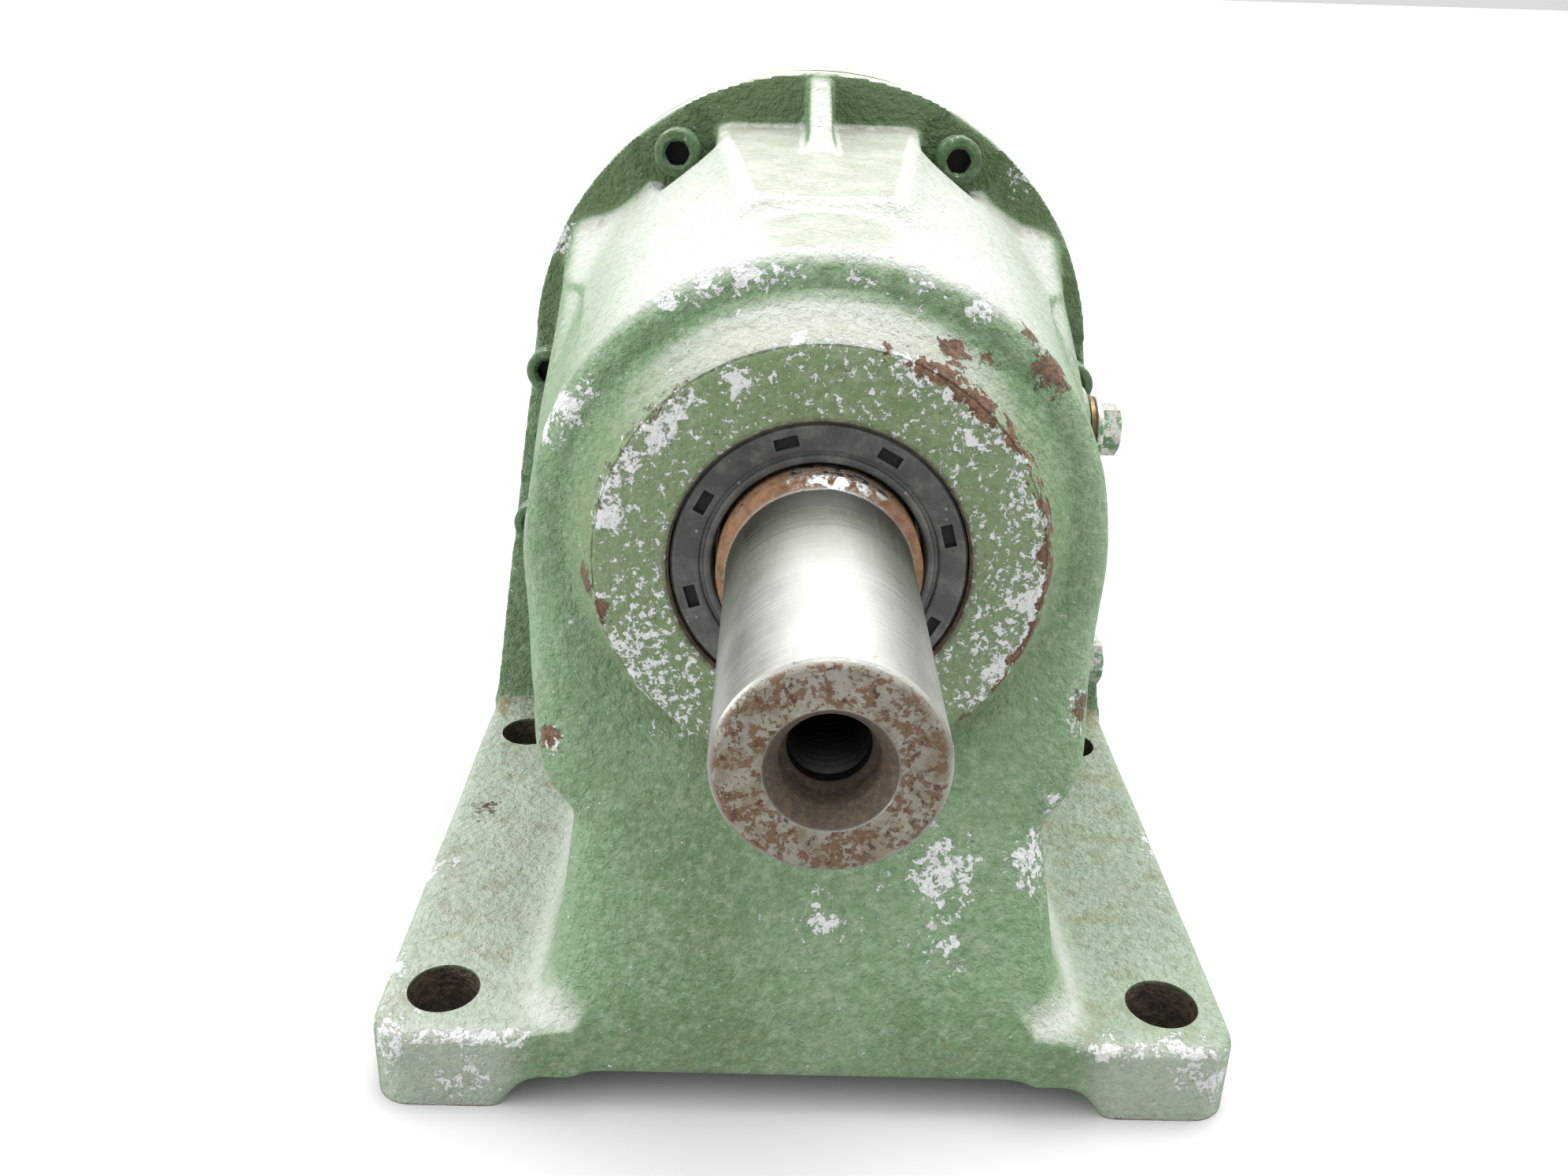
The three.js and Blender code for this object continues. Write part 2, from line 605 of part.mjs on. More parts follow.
function inputShaft() {
  const [pinionFront, pinionBack] = FIRST_STAGE.pinion;
  const seat = BEARING_30.inner - GAP;
  const seatFront = INPUT_BEARINGS[0] - GAP;
  const { end, neck, collar } = INPUT_SHAFT;
  const body = turned([
    [0, pinionFront], [neck, pinionFront], [neck, pinionBack - 1], [collar, pinionBack - 1],
    [collar, seatFront], [seat, seatFront], [seat, HUB_END + 1], [end, HUB_END + 1],
    [end, TOTAL_LENGTH - 1], [end - 1, TOTAL_LENGTH], [4, TOTAL_LENGTH],
    [2.5, TOTAL_LENGTH - 3], [0, TOTAL_LENGTH - 12],
  ], FINE);
  const teeth = pushedBack(gearOutline(TEETH.inputPinion, DOWN), pinionFront, pinionBack);
  return cut(joined([body, teeth]), [key('input', GAP), shaftRingGroove(seat, 1.2, INPUT_SNAP)]);
}

// ---------- bearings, seals, rings ----------
function bearingRings({ inner, outer, width, balls }, front, z = 0) {
  const middle = front + width / 2;
  const back = front + width;
  const pitch = (inner + outer) / 2;
  const ball = (outer - inner) * 0.28;
  const land = (outer - inner) * 0.22;
  const race = (away) => {
    const points = [];
    for (const side of [-1, 0, 1]) {
      const across = ball * 0.9 * side;
      points.push([pitch + away * Math.sqrt((ball + 0.9) ** 2 - across ** 2), middle + across]);
    }
    return points;
  };
  const innerRing = turned([
    [inner, front], [inner + land, front], ...race(-1), [inner + land, back],
    [inner, back], [inner, front],
  ], COARSE);
  const outerRing = turned([
    [outer - land, front], [outer, front], [outer, back], [outer - land, back],
    ...race(1).reverse(), [outer - land, front],
  ], COARSE);
  const cage = solid(ring(pitch - 1.2, pitch + 1.2, middle - ball * 0.8, middle + ball * 0.8, balls));
  let ballSet = cage;
  for (let index = 0; index < balls; index += 1) {
    const angle = (index / balls) * 2 * Math.PI;
    const sphere = new THREE.OctahedronGeometry(ball * 1.1, 0);
    ballSet = ballSet.add(solid(sphere.translate(pitch * Math.cos(angle), middle, pitch * Math.sin(angle))));
  }
  const place = [0, 0, z];
  return {
    inner_ring: solid(innerRing).translate(place),
    balls: ballSet.translate(place),
    outer_ring: solid(outerRing).translate(place),
  };
}

// A radial lip seal: a flat front, a stiff rim and a lip that reaches in towards the shaft.
function lipSeal(shaftRadius, outer, front, back) {
  const lip = shaftRadius + 0.4;
  return turned([
    [lip + 0.9, front + 0.8], [lip + 3, front], [outer - GAP, front], [outer - GAP, back],
    [outer - 2.5, back], [outer - 2.5, front + 2.5], [lip + 3, front + 2.5], [lip, back - 2],
    [lip + 0.9, front + 0.8],
  ]);
}

// An open snap ring with its gap at the top.
function snapRing(inner, outer, front) {
  const full = solid(ring(inner, outer, front, front + 1.6, COARSE));
  return cut(full, [block([-4, 4], [front - 1, front + 3], [0, outer + 1])]);
}

// ---------- assembly ----------
const gearbox = new THREE.Group();
gearbox.position.set(0, -TOTAL_LENGTH / 2, AXIS_HEIGHT);

function add(name, colour, shape) {
  const geometry = shape.isBufferGeometry ? shape : toGeometry(shape);
  const mesh = new THREE.Mesh(geometry, material(colour));
  mesh.name = name;
  gearbox.add(mesh);
}

function addBearing(prefix, size, front, z = 0) {
  for (const [part, shape] of Object.entries(bearingRings(size, front, z))) {
    add(`${prefix}_${part}`, part === 'balls' ? 'steel' : 'hardened', shape);
  }
}

add('gear_case', 'casting', gearCase());
add('cover_gasket', 'paper', coverGasket());
add('input_cover', 'casting', inputCover());
for (const { name, x, z } of screwPlaces()) {
  add(name, 'screw', socketScrew(x, z));
}
for (const [name, plug] of Object.entries(PLUGS)) {
  add(`${name}_plug`, 'steel', hexPlug(plug));
  add(`${name}_plug_washer`, 'copper', plugWasher(plug));
}

add('output_shaft', 'steel', outputShaft());
add('output_key', 'steel', key('output'));
add('output_seal', 'rubber', lipSeal(OUTPUT_SHAFT.sealLand, SEAL_RADIUS, SEAL_FACE, SEAL_BACK));
addBearing('output_front_bearing', BEARING_45, OUTPUT_BEARINGS[0]);
addBearing('output_rear_bearing', BEARING_45, OUTPUT_BEARINGS[1]);
const outputBearingBack = OUTPUT_BEARINGS[1] + BEARING_45.width;
add('output_bearing_snap_ring', 'blackened', snapRing(33, 39, outputBearingBack + 0.8));
add('output_spacer', 'steel', ring(
  OUTPUT_SHAFT.gearSeat + GAP, OUTPUT_SHAFT.collar, outputBearingBack + 2 * GAP, SECOND_STAGE.gear[0] - GAP,
));
add('output_gear', 'hardened', gearWheel(
  TEETH.outputGear, DOWN + Math.PI / TEETH.outputGear, SECOND_STAGE.gear, OUTPUT_SHAFT.gearSeat,
  'outputGear',
));
add('output_gear_key', 'steel', key('outputGear'));
add('output_gear_snap_ring', 'blackened', snapRing(20.1, 25, OUTPUT_SNAP + 0.3));

add('intermediate_shaft', 'hardened', intermediateShaft());
add('intermediate_gear', 'hardened', gearWheel(
  TEETH.intermediateGear, UP + Math.PI / TEETH.intermediateGear, FIRST_STAGE.gear,
  INTERMEDIATE_SHAFT.gearSeat, 'intermediateGear',
).translate([0, 0, -CENTRE_DISTANCE]));
add('intermediate_gear_key', 'steel', key('intermediateGear').translate(0, 0, -CENTRE_DISTANCE));
add('intermediate_spacer', 'steel', ring(
  BEARING_17.inner, 12, FIRST_STAGE.gear[1] + 2 * GAP, INTERMEDIATE_BEARINGS[1] - GAP, COARSE,
).translate(0, 0, -CENTRE_DISTANCE));
addBearing('intermediate_front_bearing', BEARING_17, INTERMEDIATE_BEARINGS[0], -CENTRE_DISTANCE);
addBearing('intermediate_rear_bearing', BEARING_17, INTERMEDIATE_BEARINGS[1], -CENTRE_DISTANCE);

add('input_shaft', 'steel', inputShaft());
add('input_key', 'steel', key('input'));
addBearing('input_front_bearing', BEARING_30, INPUT_BEARINGS[0]);
addBearing('input_rear_bearing', BEARING_30, INPUT_BEARINGS[1]);
const inputBearingBack = INPUT_BEARINGS[1] + BEARING_30.width;
add('input_spacer', 'steel', ring(
  BEARING_30.inner, INPUT_SHAFT.collar, INPUT_BEARINGS[0] + BEARING_30.width + GAP, INPUT_BEARINGS[1] - GAP,
));
add('input_bearing_snap_ring', 'blackened', snapRing(27, 32.5, inputBearingBack + 0.8));
add('input_shaft_snap_ring', 'blackened', snapRing(13.8, 18, INPUT_SNAP + 0.3));
add('input_seal', 'rubber', lipSeal(
  BEARING_30.inner - GAP, BEARING_30.outer + GAP, INPUT_SEAL_FACE - SEAL_WIDTH, INPUT_SEAL_FACE,
));

const group = new THREE.Group();
group.add(gearbox);

export default group;
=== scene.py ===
# Looks for an inline gear reducer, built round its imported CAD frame.
# Shapes are drawn in millimetres in the axis frame: X across, Y back from the output shaft's end
# face and Z up from the shaft axis. place() then moves them to the row frame in metres.
import json
import math

import bpy
import bmesh
import numpy as np
import openvdb
from mathutils import Matrix, Vector


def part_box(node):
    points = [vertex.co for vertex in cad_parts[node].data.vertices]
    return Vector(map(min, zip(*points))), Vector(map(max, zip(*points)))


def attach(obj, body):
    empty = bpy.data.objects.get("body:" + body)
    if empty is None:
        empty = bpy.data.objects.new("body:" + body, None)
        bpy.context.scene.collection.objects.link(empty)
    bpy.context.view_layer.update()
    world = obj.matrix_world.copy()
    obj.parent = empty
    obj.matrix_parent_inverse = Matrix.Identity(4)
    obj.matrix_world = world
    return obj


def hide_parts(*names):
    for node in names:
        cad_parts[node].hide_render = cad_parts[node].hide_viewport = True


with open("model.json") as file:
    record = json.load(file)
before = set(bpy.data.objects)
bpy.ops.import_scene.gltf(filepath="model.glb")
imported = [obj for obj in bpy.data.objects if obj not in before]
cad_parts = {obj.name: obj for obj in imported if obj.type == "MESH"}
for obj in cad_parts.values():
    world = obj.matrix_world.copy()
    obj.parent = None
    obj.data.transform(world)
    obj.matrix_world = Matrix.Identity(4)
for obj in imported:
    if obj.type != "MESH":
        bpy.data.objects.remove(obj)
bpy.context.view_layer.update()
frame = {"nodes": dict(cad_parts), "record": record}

MM = 0.001
SHAFT_LOW, SHAFT_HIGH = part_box("output_shaft")
AXIS_Z = (SHAFT_LOW.z + SHAFT_HIGH.z) / 2
ORIGIN = Vector((0, SHAFT_LOW.y, AXIS_Z))

# ---------- driving dimensions, mm ----------
AXIS_HEIGHT = AXIS_Z / MM
FOOT_HALF_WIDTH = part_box("gear_case")[1].x / MM
FOOT_TOP = -104.5
FOOT_FRONT = (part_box("gear_case")[0].y - ORIGIN.y) / MM
FOOT_HOLES = [(x, y) for x in (-85, 85) for y in (72, 195)]
FOOT_HOLE_RADIUS = 8.5
BOSS_FACE = 83.7
BOSS_RADIUS = 49.5
GROOVE_RADIUS = 59.4
WALL_FRONT = 97
PAD_FRONT = 135
PAD_FRONT_Z = 70.8
PAD_BACK_Z = 78.0
PAD_FRONT_HALF = 17
PAD_FLARE = 0.125
RIB_FRONT = 177
RIB_FRONT_Z = 74
RIB_BACK_Z = 91.1
BARREL_RADIUS = 65.5
FLANGE_FRONT = 217.4
FLANGE_BACK = 231.4
FLANGE_ARC_Z = 10.5
FLANGE_ARC_RADIUS = 82
COVER_FRONT = 232.8
COVER_BACK = 246.8
COVER_BOTTOM = -112
HUB_END = 296
CENTRE_DISTANCE = 62.5
MODULE = 2.5
PRESSURE_ANGLE = math.radians(25)
BACKLASH = 0.5
VOXEL = 1.0
GEAR_SPACE = (57.5, 48.2)  # radius about the shaft axis and about the intermediate axis
SCREW_HOLE = 4.5
PLUG_FACES = {"fill_plug": 75, "drain_plug": 80}
OUTPUT_SEAL_RADIUS = 32.5
CASE_FACES = 170_000
COVER_FACES = 60_000


# ---------- placing pieces ----------
def place(piece, body, node, smooth_below=None):
    """Puts a piece drawn in millimetres where the CAD node is, and lets it stand for that node.
    Edges that turn by less than smooth_below degrees are shaded smooth."""
    if smooth_below is not None:
        smooth(piece, smooth_below)
    piece.data.transform(Matrix.Translation(ORIGIN) @ Matrix.Scale(MM, 4))
    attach(piece, body)
    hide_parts(node)
    return piece


def new_piece(name, vertices, faces):
    mesh = bpy.data.meshes.new(name)
    mesh.from_pydata([tuple(v) for v in vertices], [], [tuple(f) for f in faces])
    mesh.update()
    piece = bpy.data.objects.new(name, mesh)
    bpy.context.scene.collection.objects.link(piece)
    return piece


def smooth(piece, angle):
    piece.data.polygons.foreach_set("use_smooth", [True] * len(piece.data.polygons))
    piece.data.set_sharp_from_angle(angle=math.radians(angle))


def apply_modifiers(piece):
    graph = bpy.context.evaluated_depsgraph_get()
    mesh = bpy.data.meshes.new_from_object(piece.evaluated_get(graph), depsgraph=graph)
    piece.modifiers.clear()
    old = piece.data
    piece.data = mesh
    bpy.data.meshes.remove(old)


def boolean(piece, tool, operation="DIFFERENCE"):
    """Cuts or joins a tool object into a piece, then removes the tool."""
    modifier = piece.modifiers.new("boolean", "BOOLEAN")
    modifier.operation = operation
    modifier.solver = "MANIFOLD"
    modifier.object = tool
    apply_modifiers(piece)
    mesh = tool.data
    bpy.data.objects.remove(tool)
    bpy.data.meshes.remove(mesh)


# ---------- turned and extruded shapes ----------
def turned(name, profile, sides=96):
    """A solid of revolution about the shaft axis. The profile is [radius, y] points: it starts and
    ends on the axis, or closes on itself."""
    closed = profile[0] == profile[-1]
    points = profile[:-1] if closed else profile
    vertices, rows = [], []
    for radius, y in points:
        if radius == 0:
            rows.append([len(vertices)] * sides)
            vertices.append((0, y, 0))
            continue
        rows.append(range(len(vertices), len(vertices) + sides))
        for step in range(sides):
            angle = 2 * math.pi * step / sides
            vertices.append((radius * math.cos(angle), y, radius * math.sin(angle)))
    pairs = list(zip(rows, rows[1:]))
    if closed:
        pairs.append((rows[-1], rows[0]))
    faces = []
    for low, high in pairs:
        for step in range(sides):
            after = (step + 1) % sides
            ring = [low[step], low[after], high[after], high[step]]
            corners = list(dict.fromkeys(ring))
            if len(corners) > 2:
                faces.append(corners)
    piece = new_piece(name, vertices, faces)
    outward(piece)
    return piece


def move(piece, x, y, z):
    piece.data.transform(Matrix.Translation((x, y, z)))


def outward(piece):
    """Turns the faces of a closed mesh outwards."""
    bm = bmesh.new()
    bm.from_mesh(piece.data)
    bmesh.ops.recalc_face_normals(bm, faces=bm.faces)
    if bm.calc_volume(signed=True) < 0:
        bmesh.ops.reverse_faces(bm, faces=bm.faces)
    bm.to_mesh(piece.data)
    bm.free()


def prism(name, outline, low, high, turn=None):
    """An outline in X and Y, pushed from z low to high, then turned."""
    count = len(outline)
    vertices = [(x, y, z) for z in (low, high) for x, y in outline]
    sides = [(i, (i + 1) % count, (i + 1) % count + count, i + count) for i in range(count)]
    piece = new_piece(name, vertices, sides + [range(count), range(count, 2 * count)])
    if turn is not None:
        piece.data.transform(turn)
    outward(piece)
    return piece


def quarter_turn(x, y, z, axis, way=1):
    """A quarter turn about an axis, then a move to a point."""
    return Matrix.Translation((x, y, z)) @ Matrix.Rotation(way * math.pi / 2, 4, axis)


def bevelled(piece, width, segments=3, angle=30):
    modifier = piece.modifiers.new("bevel", "BEVEL")
    modifier.width = width
    modifier.segments = segments
    modifier.limit_method = "ANGLE"
    modifier.angle_limit = math.radians(angle)
    apply_modifiers(piece)
    return piece


def keep_inside(piece, node):
    """Draws back any point that stands outside the CAD node's box."""
    low, high = ((corner - ORIGIN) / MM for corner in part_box(node))
    mesh = piece.data
    points = np.empty(len(mesh.vertices) * 3)
    mesh.vertices.foreach_get("co", points)
    points = np.clip(points.reshape(-1, 3), tuple(low), tuple(high))
    mesh.vertices.foreach_set("co", points.ravel())


def rod(name, radius, front, back, x=0, z=0, sides=64):
    piece = turned(name, [[0, front], [radius, front], [radius, back], [0, back]], sides)
    move(piece, x, 0, z)
    return piece


# ---------- cast shapes from distance fields ----------
class Field:
    """Signed distances in millimetres on a grid, negative inside the metal."""

    def __init__(self, low, high):
        axes = [np.arange(a, b, VOXEL, dtype=np.float32) for a, b in zip(low, high)]
        self.low = np.array(low, np.float32)
        self.x = axes[0][:, None, None]
        self.y = axes[1][None, :, None]
        self.z = axes[2][None, None, :]

    def revolved(self, profile, x=0, z=0):
        """A solid of revolution about a line along Y, from [radius, y] points."""
        spread = [(radius if radius > 0 else -90, y) for radius, y in profile]
        radii = np.arange(0, 150, VOXEL / 2, dtype=np.float32)
        table = polygon_distance(spread, radii[:, None], self.y[0, :, 0][None, :])
        radius = np.sqrt((self.x[:, :, 0] - x) ** 2 + (self.z[:, 0, :] - z) ** 2) / (VOXEL / 2)
        low = np.minimum(radius.astype(np.int32), len(radii) - 2)
        part = (radius - low)[:, :, None]
        blended = table[low] * (1 - part) + table[low + 1] * part
        return blended.transpose(0, 2, 1)

    def extruded(self, outline, front, back):
        """An outline in X and Z pushed along Y."""
        flat = polygon_distance(outline, self.x[:, :, 0], self.z[:, 0, :])[:, None, :]
        return np.maximum(np.maximum(flat, front - self.y), self.y - back)

    def mesh(self, name, distance, faces):
        limit = 3 * VOXEL
        grid = openvdb.FloatGrid(limit)
        grid.copyFromArray(np.clip(distance, -limit, limit).astype(np.float32), tolerance=0)
        points, quads = grid.convertToQuads(isovalue=0.0)
        piece = new_piece(name, points * VOXEL + self.low, quads)
        outward(piece)
        modifier = piece.modifiers.new("thin", "DECIMATE")
        modifier.ratio = min(1.0, faces / (2 * len(quads)))
        apply_modifiers(piece)
        return piece


def polygon_distance(points, u, v):
    """Signed distance to a closed outline in a plane."""
    shape = np.broadcast(u, v).shape
    best = np.full(shape, np.inf, np.float32)
    inside = np.zeros(shape, bool)
    for (u0, v0), (u1, v1) in zip(points, points[1:] + points[:1]):
        du, dv = u1 - u0, v1 - v0
        if du == 0 and dv == 0:
            continue
        share = np.clip(((u - u0) * du + (v - v0) * dv) / (du * du + dv * dv), 0, 1)
        best = np.minimum(best, (u - u0 - share * du) ** 2 + (v - v0 - share * dv) ** 2)
        if dv != 0:
            inside ^= ((v0 <= v) != (v1 <= v)) & (u < u0 + du * (v - v0) / dv)
    distance = np.sqrt(best)
    return np.where(inside, -distance, distance).astype(np.float32)


def joined(a, b, fillet=0.0):
    if fillet == 0:
        return np.minimum(a, b)
    overlap = np.maximum(fillet - np.abs(a - b), 0) / fillet
    return np.minimum(a, b) - overlap * overlap * fillet / 4


def common(a, b, rounding=0.0):
    return -joined(-a, -b, rounding)


def without(a, b, rounding=0.0):
    return -joined(-a, b, rounding)


def arc(cx, cy, radius, start, end, steps):
    angles = np.linspace(start, end, steps)
    return [(cx + radius * math.cos(a), cy + radius * math.sin(a)) for a in angles]


def curve(start, first, second, end, steps=8):
    """Points on a cubic curve, without its first point."""
    points = []
    for step in range(1, steps + 1):
        t = step / steps
        weights = ((1 - t) ** 3, 3 * t * (1 - t) ** 2, 3 * t * t * (1 - t), t**3)
        blended = [sum(w * p[i] for w, p in zip(weights, (start, first, second, end))) for i in (0, 1)]
        points.append(tuple(blended))
    return points


def mirrored(right):
    """A closed outline from its right-hand side, listed from the bottom to the top."""
    return right + [(-x, y) for x, y in reversed(right)]


SIDE_SLOPE = math.atan2(FOOT_HALF_WIDTH - 83.5, 16 - FOOT_TOP)


def flange_outline(bottom, inset):
    radius = FLANGE_ARC_RADIUS - inset
    right = [(FOOT_HALF_WIDTH - inset, bottom + inset), (FOOT_HALF_WIDTH - inset, FOOT_TOP)]
    right += arc(0, FLANGE_ARC_Z, radius, SIDE_SLOPE, math.pi / 2, 40)
    return mirrored(right)


def body_outline(inset):
    """Front view of the body under the barrel: straight sides, a waist and a flare into the foot."""
    side = BARREL_RADIUS - inset
    waist = 55.4 - inset
    right = [(64 - inset, FOOT_TOP - 20), (64 - inset, FOOT_TOP - 3), (58.8 - inset, -96), (waist, -66)]
    right += curve((waist, -66), (waist, -55), (side, -60), (side, -43))
    right += [(side, 0), (side - 4, 14)]
    return mirrored(right)


def case_body(f):
    """The outer form of the main casting."""
    rounding = 6.5
    barrel = f.revolved([
        (0, WALL_FRONT + rounding), (BARREL_RADIUS - rounding, WALL_FRONT + rounding),
        (76.5 - rounding, FLANGE_FRONT + 5), (0, FLANGE_FRONT + 5),
    ]) - rounding
    wall = f.extruded(body_outline(5), FOOT_FRONT - 20, FLANGE_FRONT + 10) - 5
    lean = math.atan2(84 - 56.5, -49 + 104)
    front = -((f.y - 56.5) * math.cos(lean) - (f.z - FOOT_TOP) * math.sin(lean))
    front = common(front, 56.2 - f.y, 6)
    front = joined(front, WALL_FRONT + 0.6 - f.y, 16)
    block = common(wall, front, 13)
    body = joined(barrel, block, 5)
    # Side shelves that fall forward from the flange, and the wider chamber behind the waist.
    half = 65.5 + (f.y - 104) * (71 - 65.5) / (FLANGE_FRONT - 104)
    sides = np.abs(f.x) - half
    top = (f.z - 52 - 0.49 * (f.y - FLANGE_FRONT)) / math.hypot(1, 0.49)
    ends = np.maximum(f.y - FLANGE_FRONT - 3, 106 - f.y)
    shelf = common(common(common(sides, top, 9), -44 - f.z, 6), ends, 6)
    body = joined(body, shelf, 7)
    chamber = common(common(np.abs(f.x) - 70.5, f.z + 20, 6), common(172 - f.y, f.y - FLANGE_FRONT - 3), 14)
    return joined(body, chamber, 9)


def case_boss(f):
    """The raised boss round the shaft, with a conical flank down to a shallow groove."""
    return f.revolved([
        (0, BOSS_FACE), (BOSS_RADIUS - 0.8, BOSS_FACE), (BOSS_RADIUS, BOSS_FACE + 0.9),
        (52.6, 91), (55.6, 95.2), (GROOVE_RADIUS, WALL_FRONT + 0.9), (GROOVE_RADIUS, 120), (0, 120),
    ])


def case_foot(f):
    corner = 9
    half = FOOT_HALF_WIDTH - 0.2
    front = FOOT_FRONT + 0.1
    plan = [(x, y) for x, y in arc(half - corner, front + corner, corner, -math.pi / 2, 0, 8)]
    plan += [(half, FLANGE_BACK + 5)]
    plan += [(-x, y) for x, y in reversed(plan)]
    flat = polygon_distance(plan, f.x[:, :, 0], f.y[:, :, 0].reshape(1, -1))[:, :, None]
    slab = common(flat, f.z - FOOT_TOP, 3.5)
    slab = np.maximum(slab, 54 - np.abs(f.x))
    slab = np.maximum(slab, -AXIS_HEIGHT - 4 - f.z)
    relief_top = -AXIS_HEIGHT + 8.5
    relief = [(69, -AXIS_HEIGHT - 9), (69, -AXIS_HEIGHT)]
    relief += curve((69, -AXIS_HEIGHT), (66, -AXIS_HEIGHT + 5), (63, relief_top), (57.5, relief_top))
    channel = polygon_distance(mirrored(relief), f.x[:, :, 0], f.z[:, 0, :])[:, None, :]
    return slab, channel


def case_pad(f):
    """The sloping pad on top of the barrel and the thin rib that runs up to the flange."""
    rise = (PAD_BACK_Z - PAD_FRONT_Z) / (FLANGE_FRONT - PAD_FRONT)
    above = f.z - PAD_FRONT_Z - rise * (f.y - PAD_FRONT)
    top = above / math.hypot(1, rise)
    half = PAD_FRONT_HALF + (f.y - PAD_FRONT) * PAD_FLARE
    sides = (np.abs(f.x) - half + above * 1.1) / math.hypot(1, 1.1)
    front = (PAD_FRONT - f.y + (f.z - PAD_FRONT_Z) * 0.9) / math.hypot(1, 0.9)
    pad = common(common(common(top, sides, 2.5), front, 1.5), np.maximum(f.y - 222, 40 - f.z))
    slope = (RIB_BACK_Z - RIB_FRONT_Z) / (FLANGE_FRONT - RIB_FRONT)
    crest = (f.z - RIB_FRONT_Z - slope * (f.y - RIB_FRONT)) / math.hypot(1, slope)
    rib = common(np.abs(f.x) - 3.1 - (90 - f.z) * 0.03, crest, 1.8)
    rib = np.maximum(rib, np.maximum(f.y - 222, 40 - f.z))
    return pad, rib


def node_centre(node):
    low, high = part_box(node)
    middle = (low + high) / 2 - ORIGIN
    return middle / MM


def screw_nodes():
    return [name for name in frame["nodes"] if name.startswith("flange_screw_")]


def along_x(f, radius, face, centre, taper=0.0):
    """A round boss that points along +X and ends at the given face."""
    away = np.sqrt((f.y - centre.y) ** 2 + (f.z - centre.z) ** 2)
    return common(away - radius - taper * (face - f.x), f.x - face, 2)


def build_case():
    f = Field((-104, 50, -130), (104, 236, 95))
    case = joined(case_body(f), case_boss(f), 0.0)
    slab, channel = case_foot(f)
    case = joined(case, slab, 9)
    case = without(case, channel, 4)
    pad, rib = case_pad(f)
    case = joined(case, pad, 4)
    case = joined(case, rib, 3)
    flange = f.extruded(flange_outline(-AXIS_HEIGHT - 6, 1.2), FLANGE_FRONT + 1, FLANGE_BACK + 5) - 1.0
    case = joined(case, without(flange, channel, 4), 3)
    for plug, face in PLUG_FACES.items():
        boss = np.maximum(along_x(f, 11, face, node_centre(plug), 0.06), 50 - f.x)
        case = joined(case, boss, 5)
    for name in screw_nodes():
        centre = node_centre(name)
        seat = np.sqrt((f.x - centre.x) ** 2 + (f.z - centre.z) ** 2) - 10.6
        seat = common(common(seat, f.y - FLANGE_FRONT), 203 - f.y, 3)
        case = without(case, seat, 3)
    swell = 0.16 * np.sin(f.x / 9.0 + np.sin(f.z / 13.0)) * np.sin(f.y / 11.0 + f.z / 17.0)
    case = case + swell * np.clip((f.y - 96) / 8, 0, 1) + 0.12
    case = np.maximum(case, np.maximum(-AXIS_HEIGHT - 3 - f.z, f.y - FLANGE_BACK - 3))
    piece = f.mesh("case_casting", case, CASE_FACES)
    machine_case(piece)
    keep_inside(piece, "gear_case")
    return place(piece, "housing", "gear_case", 38)


def slab_cutter(name, low, high):
    centre = [(a + b) / 2 for a, b in zip(low, high)]
    size = [b - a for a, b in zip(low, high)]
    outline = [(-size[0] / 2, -size[1] / 2), (size[0] / 2, -size[1] / 2), (size[0] / 2, size[1] / 2),
               (-size[0] / 2, size[1] / 2)]
    return prism(name, outline, -size[2] / 2, size[2] / 2, Matrix.Translation(centre))


def capsule_cutter(name, upper, lower, front, back):
    """The space round both shafts, for the gears."""
    right = arc(0, -CENTRE_DISTANCE, lower, -math.pi / 2, 0, 24) + arc(0, 0, upper, 0.1, math.pi / 2, 24)
    turn = quarter_turn(0, back, 0, "X")
    return prism(name, mirrored(right[:-1] + [(0.01, upper)]), 0, back - front, turn)


def machine_case(piece):
    """The cuts that a machine shop makes, with crisp edges."""
    boolean(piece, slab_cutter("below", (-150, 0, -AXIS_HEIGHT - 30), (150, 300, -AXIS_HEIGHT)))
    boolean(piece, slab_cutter("behind", (-150, FLANGE_BACK, -200), (150, 300, 200)))
    boolean(piece, turned("seal_bore", [
        (0, BOSS_FACE - 5), (38, BOSS_FACE - 5), (OUTPUT_SEAL_RADIUS, BOSS_FACE + 0.8),
        (OUTPUT_SEAL_RADIUS, 93.5), (29, 93.5), (29, 96.7), (37.8, 96.7), (37.8, 171), (0, 171),
    ], 128))
    boolean(piece, capsule_cutter("gear_space", *GEAR_SPACE, 166.5, FLANGE_BACK + 5))
    boolean(piece, rod("idler_bore", 20.3, 149.7, 180, 0, -CENTRE_DISTANCE))
    for x, y in FOOT_HOLES:
        hole = rod("foot_hole", FOOT_HOLE_RADIUS, -20, 20)
        turn = quarter_turn(x, y, -AXIS_HEIGHT + 10, "X")
        hole.data.transform(turn)
        boolean(piece, hole)
    for name in screw_nodes():
        centre = node_centre(name)
        hole = rod("screw_hole", SCREW_HOLE, FLANGE_FRONT - 4, FLANGE_BACK + 4, centre.x, centre.z, 32)
        boolean(piece, hole)
    for plug, face in PLUG_FACES.items():
        centre = node_centre(plug)
        hole = rod("plug_hole", 6.6, -8, 26, sides=48)
        turn = quarter_turn(face - 10, centre.y, centre.z, "Z", -1)
        hole.data.transform(turn)
        boolean(piece, hole)


